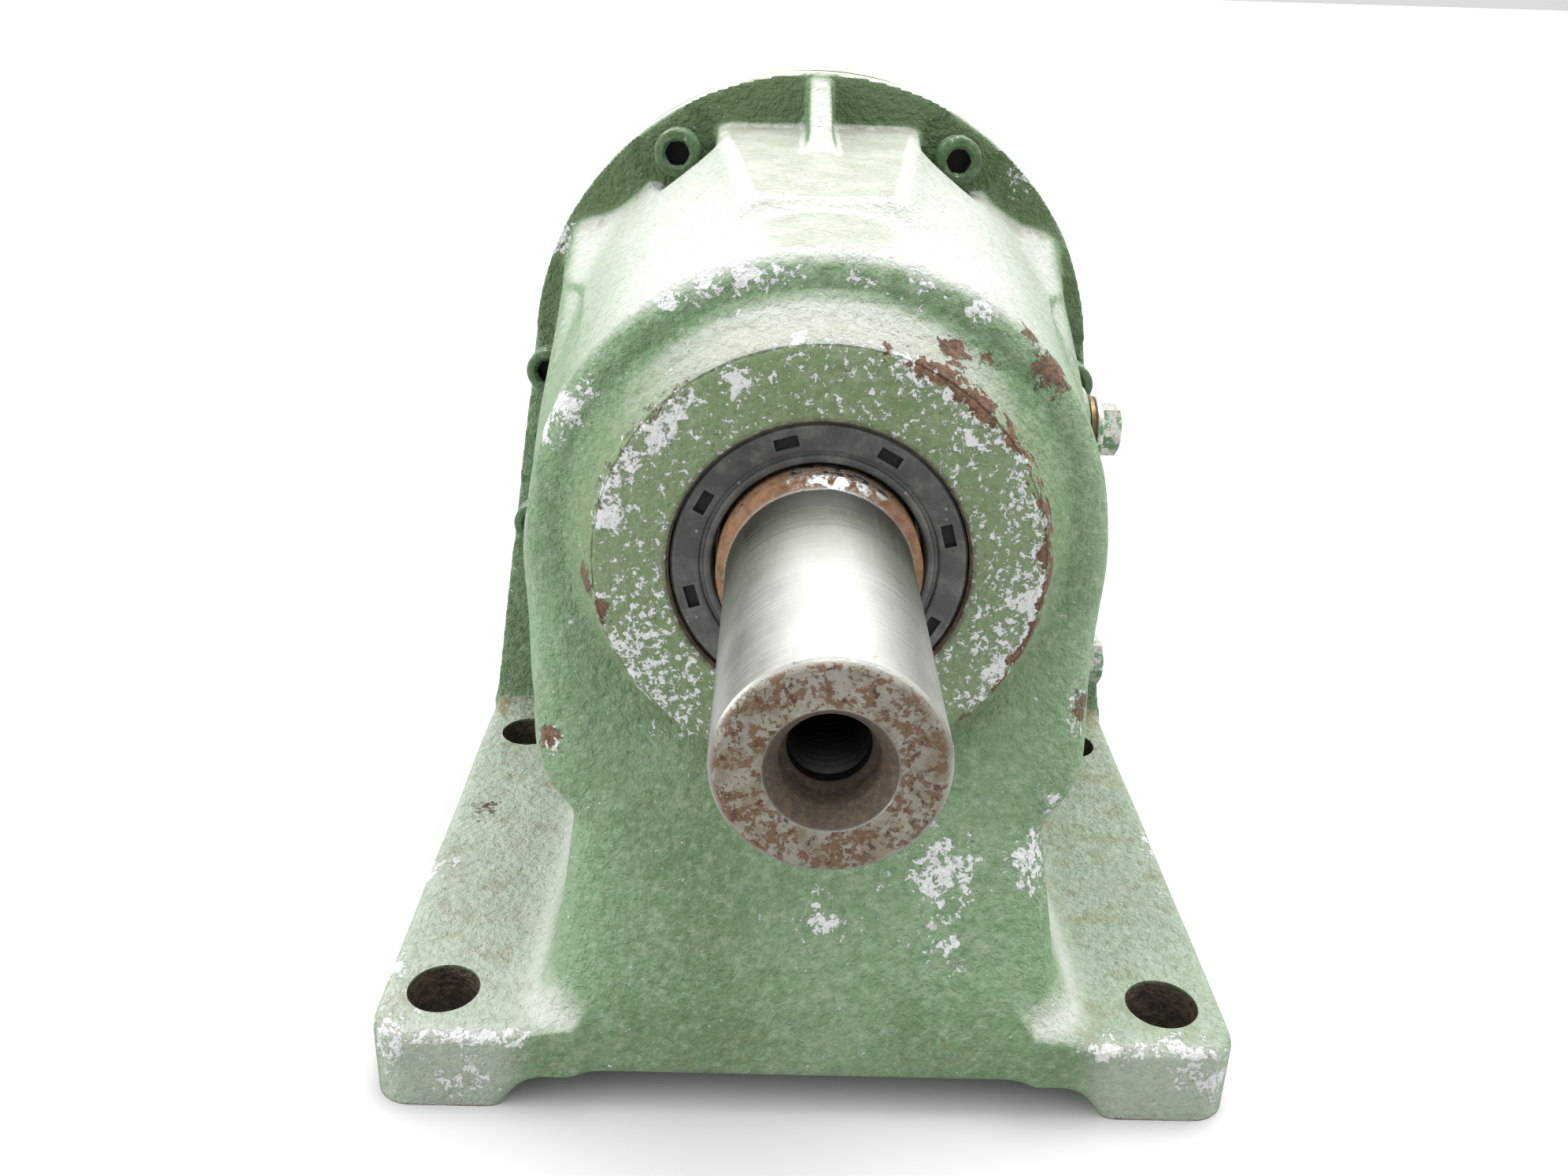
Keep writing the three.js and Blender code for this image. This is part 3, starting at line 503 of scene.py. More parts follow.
def build_cover():
    """The plate behind the flange, with its hub for the input bearings."""
    f = Field((-104, 222, -130), (104, 300, 95))
    plate = f.extruded(flange_outline(COVER_BOTTOM, 1.6), COVER_FRONT - 4, COVER_BACK - 1.4) - 1.4
    hub = f.revolved([
        (0, 224), (45, 224), (45, COVER_BACK), (42.6, COVER_BACK + 6),
        (38, HUB_END - 1.2), (36.6, HUB_END), (0, HUB_END),
    ])
    cover = joined(plate, hub, 7)
    bulge_end = COVER_BACK + 4.8
    bulge = f.revolved([(0, 224), (24.6, 224), (24.6, bulge_end), (0, bulge_end)], 0, -CENTRE_DISTANCE)
    cover = joined(cover, bulge, 5)
    for side in (-1, 1):
        for height in (52, -30):
            run = math.hypot(46, height * 0.8)
            along = ((f.x * side - 20) * 46 + (f.z - height * 0.2 - 2.5) * height * 0.8) / run
            across = np.abs((f.x * side - 20) * height * 0.8 - (f.z - height * 0.2 - 2.5) * 46) / run
            crest = f.y - (HUB_END - 14) + along * (HUB_END - 16 - COVER_BACK) / run
            crest = crest / math.hypot(1, (HUB_END - 16 - COVER_BACK) / run)
            rib = common(common(across - 2.9, crest, 2.5), np.maximum(-along - 10, along - run), 1)
            cover = joined(cover, rib, 4)
    cover = np.maximum(cover + 0.15, COVER_FRONT - 4 - f.y)
    piece = f.mesh("cover_casting", cover, COVER_FACES)
    boolean(piece, slab_cutter("ahead", (-150, 0, -200), (150, COVER_FRONT, 200)))
    boolean(piece, rod("pocket_wall", 27, 225.5, 243, 0, -CENTRE_DISTANCE, 96), "UNION")
    boolean(piece, turned("hub_bore", [
        (0, 215), (27, 215), (27, 236.2), (31.3, 236.2), (31.3, HUB_END - 0.8),
        (33, HUB_END + 1), (0, HUB_END + 1),
    ], 128))
    boolean(piece, rod("idler_pocket", 20.3, 215, 238.3, 0, -CENTRE_DISTANCE))
    for name in screw_nodes():
        centre = node_centre(name)
        boolean(piece, rod("thread_hole", 4.3, 215, COVER_BACK - 2, centre.x, centre.z, 32))
    keep_inside(piece, "input_cover")
    return place(piece, "housing", "input_cover", 38)


# ---------- turned and moulded pieces ----------
def thread_profile(minor, major, front, back, pitch):
    """The wall of a threaded hole, from its inner end to its mouth."""
    points = []
    turns = int((back - front) / pitch)
    for turn in range(turns):
        y = back - turn * pitch
        points += [(minor, y), (major, y - pitch * 0.45)]
        points += [(major, y - pitch * 0.55), (minor, y - pitch * 0.97)]
    return points


def stadium(width, front, back, steps=16):
    half = width / 2
    points = arc(0, back - half, half, 0, math.pi, steps)
    return points + arc(0, front + half, half, math.pi, 2 * math.pi, steps)


def key_shape(name, width, front, back, low, high):
    return prism(name, stadium(width, front, back), low, high)


def build_output_shaft():
    profile = [(0, 46), (7, 42)]
    profile += thread_profile(7, 8, 9.6, 41, 2)
    profile += [(7.2, 9), (8.3, 8), (8.5, 7.6), (8.5, 3.9), (8.7, 3.5), (11.1, 0.25), (11.4, 0)]
    profile += [(18.3, 0), (18.6, 0.12), (19.9, 1.45), (20, 1.8), (20, 78.6), (20.2, 79.2), (21.9, 81.0)]
    profile += [(22.2, 81.5), (22.2, 113.3), (26, 113.3), (26, 145.7), (22.2, 145.7)]
    profile += [(22.2, 162.3), (21, 162.3)]
    profile += [(21, 196.5), (19.8, 196.5), (19.8, 198.7), (21, 198.7), (21, 200), (20, 201), (0, 201)]
    piece = turned("output_shaft_steel", profile, 160)
    boolean(piece, key_shape("keyway", 12.6, 7.7, 71.3, -26, -15.3))
    boolean(piece, key_shape("gear_keyway", 12.6, 170.7, 195.3, 15.7, 28))
    return place(piece, "output", "output_shaft", 28)


def build_key(name, body, node, width, front, back, low, high):
    piece = bevelled(key_shape(name, width, front, back, low, high), 0.4, 2, 50)
    return place(piece, body, node, 40)


def build_input_shaft():
    profile = [(0, 204), (14, 204), (14, 221), (17.9, 221), (17.9, 236.2), (14.7, 236.2), (14.7, 283.4)]
    profile += [(13.5, 283.4), (13.5, 285.6), (14.7, 285.6), (14.7, 296.6), (14.2, 297), (12, 297.2)]
    profile += [(12, 346.2), (11.8, 346.5), (11.2, 347), (4.2, 347), (4, 346.8), (2.5, 344)]
    profile += [(2.5, 338), (0, 335)]
    piece = turned("input_shaft_steel", profile, 128)
    boolean(piece, gear_teeth("pinion", 16, -math.pi / 2, 204.02, 222), "UNION")
    boolean(piece, key_shape("keyway", 8.6, 300.7, 341.3, 7.7, 20))
    return place(piece, "input", "input_shaft", 28)


def build_intermediate_shaft():
    stub = 8.2
    piece = turned("intermediate_shaft_steel", [
        (0, 149.8), (stub - 0.8, 149.8), (stub, 150.6), (stub, 162.5), (11, 162.5), (11, 197), (13.5, 197),
        (13.5, 204.7), (11, 204.7), (11, 221.3), (stub, 221.3), (stub, 236.7), (stub - 0.8, 237.5),
        (0, 237.5),
    ], 96)
    boolean(piece, gear_teeth("pinion", 12, math.pi / 2, 168, 198), "UNION")
    boolean(piece, key_shape("keyway", 6.6, 205.7, 220.3, 7.2, 18))
    move(piece, 0, 0, -CENTRE_DISTANCE)
    return place(piece, "intermediate", "intermediate_shaft", 28)


def build_wheel(name, body, node, teeth, angle, front, back, bore, key_width, key_top, z=0):
    """A gear wheel with a thinner web between its rim and its hub."""
    wheel = gear_teeth(name, teeth, angle, front, back)
    rim = teeth * MODULE / 2 - 7
    hub = bore + 7.5
    for low, high in ((front - 1, front + 3.5), (back - 3.5, back + 1)):
        boolean(wheel, turned("recess", [(hub, low), (rim, low), (rim, high), (hub, high), (hub, low)], 96))
    boolean(wheel, rod("bore", bore + 0.3, front - 1, back + 1))
    boolean(wheel, slab_cutter(
        "keyway", (-key_width / 2 - 0.3, front - 1, 0), (key_width / 2 + 0.3, back + 1, key_top + 0.3),
    ))
    move(wheel, 0, 0, z)
    return place(wheel, body, node, 28)


def gear_teeth(name, teeth, tooth_angle, front, back):
    """A toothed disc with involute flanks; one tooth points along tooth_angle."""
    pitch = teeth * MODULE / 2
    base = pitch * math.cos(PRESSURE_ANGLE)
    tip = pitch + MODULE
    root = pitch - 1.25 * MODULE
    half_tooth = (math.pi * MODULE / 2 - BACKLASH / 2) / 2 / pitch

    def half_angle(radius):
        roll = math.acos(min(1, base / radius))
        lead = math.tan(PRESSURE_ANGLE) - PRESSURE_ANGLE
        return half_tooth + lead - (math.tan(roll) - roll)

    start = max(base, root)
    radii = [start + (tip - start) * step / 6 for step in range(7)]
    flank = [(root, half_angle(base))] if start > root else []
    flank += [(radius, half_angle(radius)) for radius in radii]
    outline = []
    for tooth in range(teeth):
        middle = tooth_angle + 2 * math.pi * tooth / teeth
        edge = [(radius, middle - half) for radius, half in flank]
        edge += [(radius, middle + half) for radius, half in reversed(flank)]
        outline += [(radius * math.cos(angle), radius * math.sin(angle)) for radius, angle in edge]
    turn = quarter_turn(0, back, 0, "X")
    return prism(name, outline, 0, back - front, turn)


def build_seal(name, shaft, outer, face, out, node, marks):
    """A radial lip seal. out is -1 where its face looks to -Y and +1 where it looks to +Y."""
    rim = outer - 0.3
    section = [
        (rim - 0.5, 0), (rim, 0.5), (rim, 7.8), (rim - 2.4, 7.8), (rim - 2.4, 2.6),
        (shaft + 3.2, 2.6), (shaft + 0.5, 6.4),
        (shaft + 0.45, 5.4), (shaft + 0.7, 3.2), (shaft + 0.9, 1.5), (shaft + 1.3, 0.75), (shaft + 2.1, 0.45),
        (shaft + 2.7, 0.6), (shaft + 3.0, 1.25), (shaft + 3.6, 1.3), (shaft + 3.9, 0.5), (shaft + 4.4, 0.25),
        (rim - 1.6, 0.2), (rim - 1.2, 0),
    ]
    profile = [(radius, face - out * y) for radius, y in section]
    piece = turned(name, profile + profile[:1], 160)
    middle = (shaft + 4.4 + rim - 1.6) / 2
    for index in range(marks):
        angle = 2 * math.pi * (index + 0.35) / marks
        mark = slab_cutter("mark", (-2.6, face - 1.1, -1.3), (2.6, face + 1.1, 1.3))
        mark.data.transform(Matrix.Rotation(-angle, 4, "Y") @ Matrix.Translation((0, 0, middle)))
        boolean(piece, mark)
    smooth(piece, 35)
    dress(piece, FINISHES["rubber"], recess_shade)
    # Painted shade: faces on the floors of the mark pockets take the second, near-black material.
    for part in piece.data.polygons:
        away = math.hypot(part.center.x, part.center.z) - middle
        sunk = -out * (part.center.y - face)
        part.material_index = int(abs(away) < 1.4 and sunk > 0.6)
    return place(piece, "housing", node)


def hexagon(corner_radius):
    return arc(0, 0, corner_radius, 0, 2 * math.pi * 5 / 6, 6)


def build_screw(node):
    centre = node_centre(node)
    head = FLANGE_FRONT - 0.3 - 8
    seat = FLANGE_FRONT - 0.3
    back = 244
    piece = turned("socket_screw", [
        (0, head), (5.3, head), (5.9, head + 0.15), (6.3, head + 0.45),
        (6.45, head + 0.9), (6.45, seat - 0.2),
        (6.3, seat), (4, seat), (4, back - 0.8), (3.2, back), (0, back),
    ], 64)
    turn = quarter_turn(0, head + 4.5, 0, "X")
    boolean(piece, prism("hex", hexagon(6.1 / math.sqrt(3)), 0, 8, turn))
    lead = [(0, head - 1), (4.2, head - 1), (4.2, head), (3.3, head + 0.9), (0, head + 0.9)]
    boolean(piece, turned("lead", lead, 48))
    move(piece, centre.x, 0, centre.z)
    piece.name = node + "_steel"
    smooth(piece, 30)
    dress(piece, FINISHES["screw"], recess_shade)
    # Painted shade: faces inside the hex socket take the second, near-black material.
    for face in piece.data.polygons:
        middle = face.center - Vector((centre.x, 0, centre.z))
        face.material_index = int(math.hypot(middle.x, middle.z) < 3.8 and middle.y > head + 0.5)
    return place(piece, "housing", node)


def hex_head(radius, low, high, chamfer):
    """A hexagon prism along Y whose corners are turned off at the outer end."""
    turn = quarter_turn(0, high, 0, "X")
    head = prism("hex", hexagon(radius), 0, high - low, turn)
    flat = radius * math.cos(math.pi / 6)
    cone = turned("cone", [
        (0, low - 1), (radius + 1, low - 1), (radius + 1, high - chamfer - 0.6), (flat - 0.4, high),
        (0, high),
    ], 64)
    boolean(head, cone, "INTERSECT")
    return head


def build_plug(node):
    """Drawn along +Y from its seat, then turned to point along +X."""
    tip = (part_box(node)[1].x - ORIGIN.x) / MM
    centre = node_centre(node)
    piece = turned("plug", [
        (0, -14), (5.2, -14), (6.1, -13), (6.1, 0), (8.6, 0), (8.95, 0.4), (8.95, 1.5), (8.6, 1.9), (0, 1.9),
    ], 64)
    boolean(piece, hex_head(7.45, 1, 7.4, 0.8), "UNION")
    turn = quarter_turn(tip - 7.5, centre.y, centre.z, "Z", -1)
    piece.data.transform(turn)
    piece.name = node + "_steel"
    return place(piece, "housing", node, 30)


def build_washer(node):
    start = (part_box(node)[0].x - ORIGIN.x) / MM
    centre = node_centre(node)
    piece = turned("washer", [
        (6.4, 0.25), (6.65, 0), (9.05, 0), (9.3, 0.25), (9.3, 1.25), (9.05, 1.5), (6.65, 1.5),
        (6.4, 1.25), (6.4, 0.25),
    ], 64)
    piece.data.transform(quarter_turn(start, centre.y, centre.z, "Z", -1))
    piece.name = node + "_ring"
    return place(piece, "housing", node, 35)


# ---------- procedural materials ----------
class Wire:
    """A number that travels through a node tree, so that masks read as arithmetic."""

    def __init__(self, graph, socket):
        self.graph = graph
        self.socket = socket

    def math(self, operation, *others, clamp=False):
        node = self.graph.new("Math")
        node.operation = operation
        node.use_clamp = clamp
        for index, value in enumerate((self, *others)):
            self.graph.feed(node.inputs[index], value)
        return Wire(self.graph, node.outputs[0])

    def __add__(self, other):
        return self.math("ADD", other)

    def __sub__(self, other):
        return self.math("SUBTRACT", other)

    def __mul__(self, other):
        return self.math("MULTIPLY", other)

    def clamped(self):
        return self.math("ADD", 0.0, clamp=True)

    def flipped(self):
        """One minus this."""
        return (self * -1.0) + 1.0

    def step(self, low, high):
        """Rises smoothly from 0 at low to 1 at high, or falls where low is the larger."""
        node = self.graph.new("MapRange")
        node.interpolation_type = "SMOOTHSTEP"
        flip = low > high
        self.graph.feed(node.inputs["Value"], self)
        node.inputs["From Min"].default_value = high if flip else low
        node.inputs["From Max"].default_value = low if flip else high
        node.inputs["To Min"].default_value = 1.0 if flip else 0.0
        node.inputs["To Max"].default_value = 0.0 if flip else 1.0
        return Wire(self.graph, node.outputs["Result"])

    def largest(self, other):
        return self.math("MAXIMUM", other)


class Graph:
    """A material's node tree. Lengths are in millimetres in the axis frame."""

    def __init__(self, name, roughness=0.5, metallic=0.0):
        self.material = bpy.data.materials.new(name)
        self.material.use_nodes = True
        self.tree = self.material.node_tree
        self.shader = self.tree.nodes["Principled BSDF"]
        self.shader.inputs["Roughness"].default_value = roughness
        self.shader.inputs["Metallic"].default_value = metallic
        coordinates = self.new("TexCoord")
        mapping = self.new("Mapping")
        mapping.vector_type = "POINT"
        mapping.inputs["Scale"].default_value = (1 / MM,) * 3
        mapping.inputs["Location"].default_value = tuple(-ORIGIN / MM)
        self.link(coordinates.outputs["Object"], mapping.inputs["Vector"])
        self.place = mapping.outputs["Vector"]
        split = self.new("SeparateXYZ")
        self.link(self.place, split.inputs[0])
        self.x, self.y, self.z = (Wire(self, output) for output in split.outputs)
        facing = self.new("SeparateXYZ")
        self.link(coordinates.outputs["Normal"], facing.inputs[0])
        self.facing_y, self.facing_z = (Wire(self, facing.outputs[axis]) for axis in "YZ")

    def new(self, kind):
        return self.tree.nodes.new("ShaderNode" + kind)

    def link(self, output, socket):
        self.tree.links.new(output, socket)

    def feed(self, socket, value):
        if isinstance(value, Wire):
            self.link(value.socket, socket)
        else:
            socket.default_value = value

    def mapped(self, node, scale, shift):
        """Feeds a texture node with scaled and shifted places."""
        mapping = self.new("Mapping")
        mapping.inputs["Scale"].default_value = scale
        mapping.inputs["Location"].default_value = shift
        self.link(self.place, mapping.inputs["Vector"])
        self.link(mapping.outputs["Vector"], node.inputs["Vector"])
        node.inputs["Scale"].default_value = 1.0

    def noise(self, size, detail=3.0, roughness=0.55, stretch=(1, 1, 1), shift=(0, 0, 0), distortion=0.0):
        """Fractal noise about 0.5, with features of about the given size."""
        node = self.new("TexNoise")
        self.mapped(node, tuple(1 / (size * s) for s in stretch), shift)
        node.inputs["Detail"].default_value = detail
        node.inputs["Roughness"].default_value = roughness
        node.inputs["Distortion"].default_value = distortion
        return Wire(self, node.outputs["Fac"])

    def cells(self, size, shift=(0, 0, 0)):
        """Distance to the nearest of many scattered points, in cell sizes, and a random number for each."""
        node = self.new("TexVoronoi")
        self.mapped(node, (1 / size,) * 3, shift)
        split = self.new("SeparateColor")
        self.link(node.outputs["Color"], split.inputs[0])
        return Wire(self, node.outputs["Distance"]), Wire(self, split.outputs[0])

    def radius(self):
        """Distance from the shaft axis."""
        return (self.x * self.x + self.z * self.z).math("SQRT")

    def angle(self):
        """Direction about the shaft axis, -pi to pi, from +X towards +Z."""
        return self.z.math("ARCTAN2", self.x)

    def near(self, centre, radius):
        """1 at a point, falling to 0 at the given distance from it."""
        node = self.new("VectorMath")
        node.operation = "DISTANCE"
        node.inputs[1].default_value = centre
        self.link(self.place, node.inputs[0])
        return Wire(self, node.outputs["Value"]).step(radius, 0.0)

    def blend(self, share, low, high):
        """A colour between two colours or colour sockets."""
        node = self.new("Mix")
        node.data_type = "RGBA"
        self.feed(node.inputs["Factor"], share)
        for socket, value in ((node.inputs["A"], low), (node.inputs["B"], high)):
            if isinstance(value, tuple):
                socket.default_value = (*linear(value), 1)
            else:
                self.link(value, socket)
        return node.outputs["Result"]

    def bump(self, height, distance, strength=1.0, below=None):
        """Adds relief, with height from 0 to 1 and distance in millimetres."""
        node = self.new("Bump")
        node.inputs["Strength"].default_value = strength
        node.inputs["Distance"].default_value = distance * MM
        self.feed(node.inputs["Height"], height)
        if below is not None:
            self.link(below, node.inputs["Normal"])
        return node.outputs["Normal"]

    def finish(self, colour, roughness, normal, metallic=None):
        """Joins the colour, roughness and relief to the shader and returns the material."""
        self.link(colour, self.shader.inputs["Base Color"])
        self.feed(self.shader.inputs["Roughness"], roughness)
        self.link(normal, self.shader.inputs["Normal"])
        if metallic is not None:
            self.feed(self.shader.inputs["Metallic"], metallic)
        return self.material


def linear(colour):
    """An sRGB colour of 0 to 255 as linear light."""
    return tuple(c / 255 / 12.92 if c <= 10 else ((c / 255 + 0.055) / 1.055) ** 2.4 for c in colour)


GREEN = (114, 142, 106)
GREEN_DARK = (88, 117, 78)
# Pale green for fading and dust, and for painted light on up-facing faces and the feet's front faces.
PALE_GREEN_FADE_AND_LIGHT = (190, 193, 186)
GRIME = (122, 116, 80)
UNDERCOAT = (214, 214, 214)
RUST = (118, 88, 68)
RUST_DARK = (78, 56, 44)
# Near-black of painted shade in recesses.
RECESS_SHADE = (26, 30, 26)


def round_boss(angle, radius):
    """A point on the front wall, from its clock-like angle in degrees and its distance from the shaft."""
    flank = min(max((radius - BOSS_RADIUS) / (GROOVE_RADIUS - BOSS_RADIUS), 0), 1)
    shoulder = max(radius - GROOVE_RADIUS, 0) ** 2 * 0.12
    y = BOSS_FACE + flank * (WALL_FRONT - BOSS_FACE) + shoulder
    turn = math.radians(angle)
    return radius * math.cos(turn), y, radius * math.sin(turn)


def places(round_the_boss, elsewhere):
    """Worn places as (centre, reach, strength), from rows of (angle, radius, reach, strength) round the
    boss and of (x, y, z, reach, strength) elsewhere."""
    near = [(round_boss(angle, radius), *rest) for angle, radius, *rest in round_the_boss]
    return near + [((x, y, z), *rest) for x, y, z, *rest in elsewhere]


# Where the paint is knocked off.
CHIPPED_PLACES = places([
    (114, 44.5, 6, 1.0), (140, 46, 8, 1.0), (166, 46.5, 8, 1.0), (96, 51, 6, 0.95), (70, 48.5, 8, 0.8),
    (44, 42.5, 8, 0.8), (20, 45, 10, 0.8), (-8, 46, 10, 0.8), (-30, 47, 10, 0.8), (152, 63.5, 12, 1.0),
    (158, 66, 9, 0.95), (146, 62.5, 8, 0.9), (128, 53, 5, 0.9), (98, 62, 9, 0.8), (106, 62.5, 10, 0.95),
    (114, 63, 9, 1.0), (122, 63, 7, 0.9), (84, 62.5, 11, 0.7), (72, 62.5, 10, 0.6), (60, 63, 9, 0.6),
    (42, 64, 11, 0.6), (218, 46, 12, 0.6), (232, 50, 12, 0.6), (205, 47, 8, 0.7),
], [
    (54, 76, -68, 16, 1.0), (30, 74, -70, 18, 0.9), (4, 70, -80, 13, 0.7), (30, 68, -84, 16, 0.65),
    (58, 82, -58, 9, 0.8), (-61, 88, -45, 12, 0.6), (64, 92, -36, 12, 0.7), (-60, 84, -64, 10, 0.5),
    (-95, 57, -108, 16, 0.8), (-78, 56, -116, 16, 0.7), (92, 57, -112, 18, 0.8), (84, 56, -106, 14, 0.6),
    (-100, 120, -106, 18, 0.8), (-98, 78, -104, 12, 0.8), (70, 57, -108, 12, 0.6),
    (100, 140, -106, 16, 0.7), (-73, 217, 46, 14, 0.8), (58, 217, 66, 14, 0.75), (0, 150, 70, 20, 0.45),
    (71, 200, 20, 30, 0.5), (-71, 180, 20, 30, 0.4), (99, 231, -60, 30, 0.5), (-99, 231, -60, 30, 0.5),
    (0, 247, 60, 30, 0.5), (40, 290, 10, 16, 0.6), (-60, 247, -60, 26, 0.5),
])
# Knocks that went through to rusty iron.
RUSTY_PLACES = places([
    (60, 55, 7, 1.0), (52, 57, 5, 0.8), (40, 64, 10, 0.8), (48, 66, 6, 0.7), (186, 52, 7, 0.9),
    (193, 49, 5, 0.8),
], [
    (64, 92, -36, 8, 0.75), (-61, 88, -45, 7, 0.7), (70, 200, -20, 12, 0.6), (-90, 150, -104, 9, 0.5),
    (30, 247, -100, 16, 0.6), (-38, 280, -12, 12, 0.6),
])


def boss_edge_wear(g):
    """Bare rings, pale inside and rusty outside, along two stretches of the boss's front edge."""
    ragged = (g.noise(8.0, 3, 0.6) - 0.5) * 11.0 + (g.noise(2.4, 5, 0.7, shift=(4, 0, 2)) - 0.5) * 7.0
    radius = g.radius() + ragged
    angle = g.angle()
    left = angle.step(1.95, 2.2) * angle.step(3.05, 2.85)
    right = angle.step(1.5, 1.25) * angle.step(-0.95, -0.75)
    on_front = g.y.step(89.5, 87.0)
    band = left.largest(right) * on_front
    gaps = g.noise(6.0, 3, 0.6, shift=(8, 8, 8)).step(0.36, 0.44)
    ring = radius.step(47.8, 48.4) * radius.step(51.4, 50.8)
    rusty = ring * (right + left * 0.6).clamped() * on_front * gaps
    narrow = radius.step(45.4, 46.2) * right
    wide = radius.step(42.6, 43.6) * left
    pale = narrow.largest(wide) * radius.step(49.6, 49.0) * band * (gaps * 0.6 + 0.4)
    return pale, rusty


def chipped_reach(g, places):
    reach = None
    for centre, size, strength in places:
        here = g.near(centre, size) * strength
        reach = here if reach is None else reach.largest(here)
    return reach


def paint_wear(g):
    """Masks for bare undercoat and for rust on the green paint, each 0 to 1."""
    reach = chipped_reach(g, CHIPPED_PLACES)
    band_pale, band_rust = boss_edge_wear(g)
    patch = g.noise(4.4, 7, 0.68, distortion=0.6)
    crumbs = g.noise(1.3, 5, 0.7, shift=(9, 9, 1))
    rim = g.radius().step(47.6, 49.0) * g.radius().step(51.0, 50.0) * g.y.step(90, 86) * 0.35
    chips = patch * 0.6 + crumbs * 0.4
    foot_edge = (g.y - (FOOT_FRONT + 1)).math("ABSOLUTE").step(4.0, 0.5)
    foot_edge = foot_edge * (g.z - (FOOT_TOP - 1)).math("ABSOLUTE").step(4.0, 0.5)
    foot_edge = foot_edge * g.x.math("ABSOLUTE").step(58, 66)
    loose = reach.largest(rim).largest(foot_edge * 0.8) * 0.20
    pale = (chips + loose).step(0.635, 0.65)
    pale = pale.largest((band_pale * 0.45 + crumbs * 0.5).step(0.66, 0.71))
    # Fine specks, thick on the right and the lower left of the boss face.
    on_boss = g.y.step(85.4, 84.4) * g.radius().step(50.0, 48.8)
    right_side = g.near((40, 84, -12), 34)
    low_left = g.near((-38, 84, -18), 30)
    crowd = on_boss * (right_side.largest(low_left) * 0.055 + 0.08)
    specks = g.noise(1.7, 5, 0.72, shift=(1, 4, 4), distortion=0.3) + crowd + reach * 0.03
    pale = pale.largest(specks.step(0.655, 0.675))
    rust_noise = g.noise(2.2, 6, 0.72, shift=(9, 2, 4))
    rust = (band_rust * 0.5 + rust_noise * 0.6).step(0.60, 0.68)
    rust = rust.largest((chipped_reach(g, RUSTY_PLACES) * 0.42 + rust_noise).step(0.66, 0.72))
    seeds = (g.noise(1.4, 5, 0.75, shift=(1, 8, 2)) + on_boss * 0.04 + reach * 0.05).step(0.70, 0.72)
    rust = rust.largest(seeds * 0.8)
    return pale.clamped(), rust.clamped()


def bored(g):
    """Where a drill or a lathe cut through the paint: the foot holes and the seal's bore."""
    across = g.x.math("ABSOLUTE") - 85
    below = g.z.step(FOOT_TOP - 0.2, FOOT_TOP - 1.2)
    holes = None
    for y in (72, 195):
        along = g.y - y
        hole = (across * across + along * along).math("SQRT").step(9.0, 8.6) * below
        holes = hole if holes is None else holes.largest(hole)
    bore = g.radius().step(34.2, 33.4) * g.y.step(BOSS_FACE - 0.2, BOSS_FACE + 0.4)
    underside = g.z.step(-AXIS_HEIGHT + 0.6, -AXIS_HEIGHT + 0.1)
    joint = g.y.step(FLANGE_BACK - 0.4, FLANGE_BACK - 0.1) * g.y.step(COVER_FRONT + 0.4, COVER_FRONT + 0.1)
    return holes.largest(bore), underside.largest(joint)


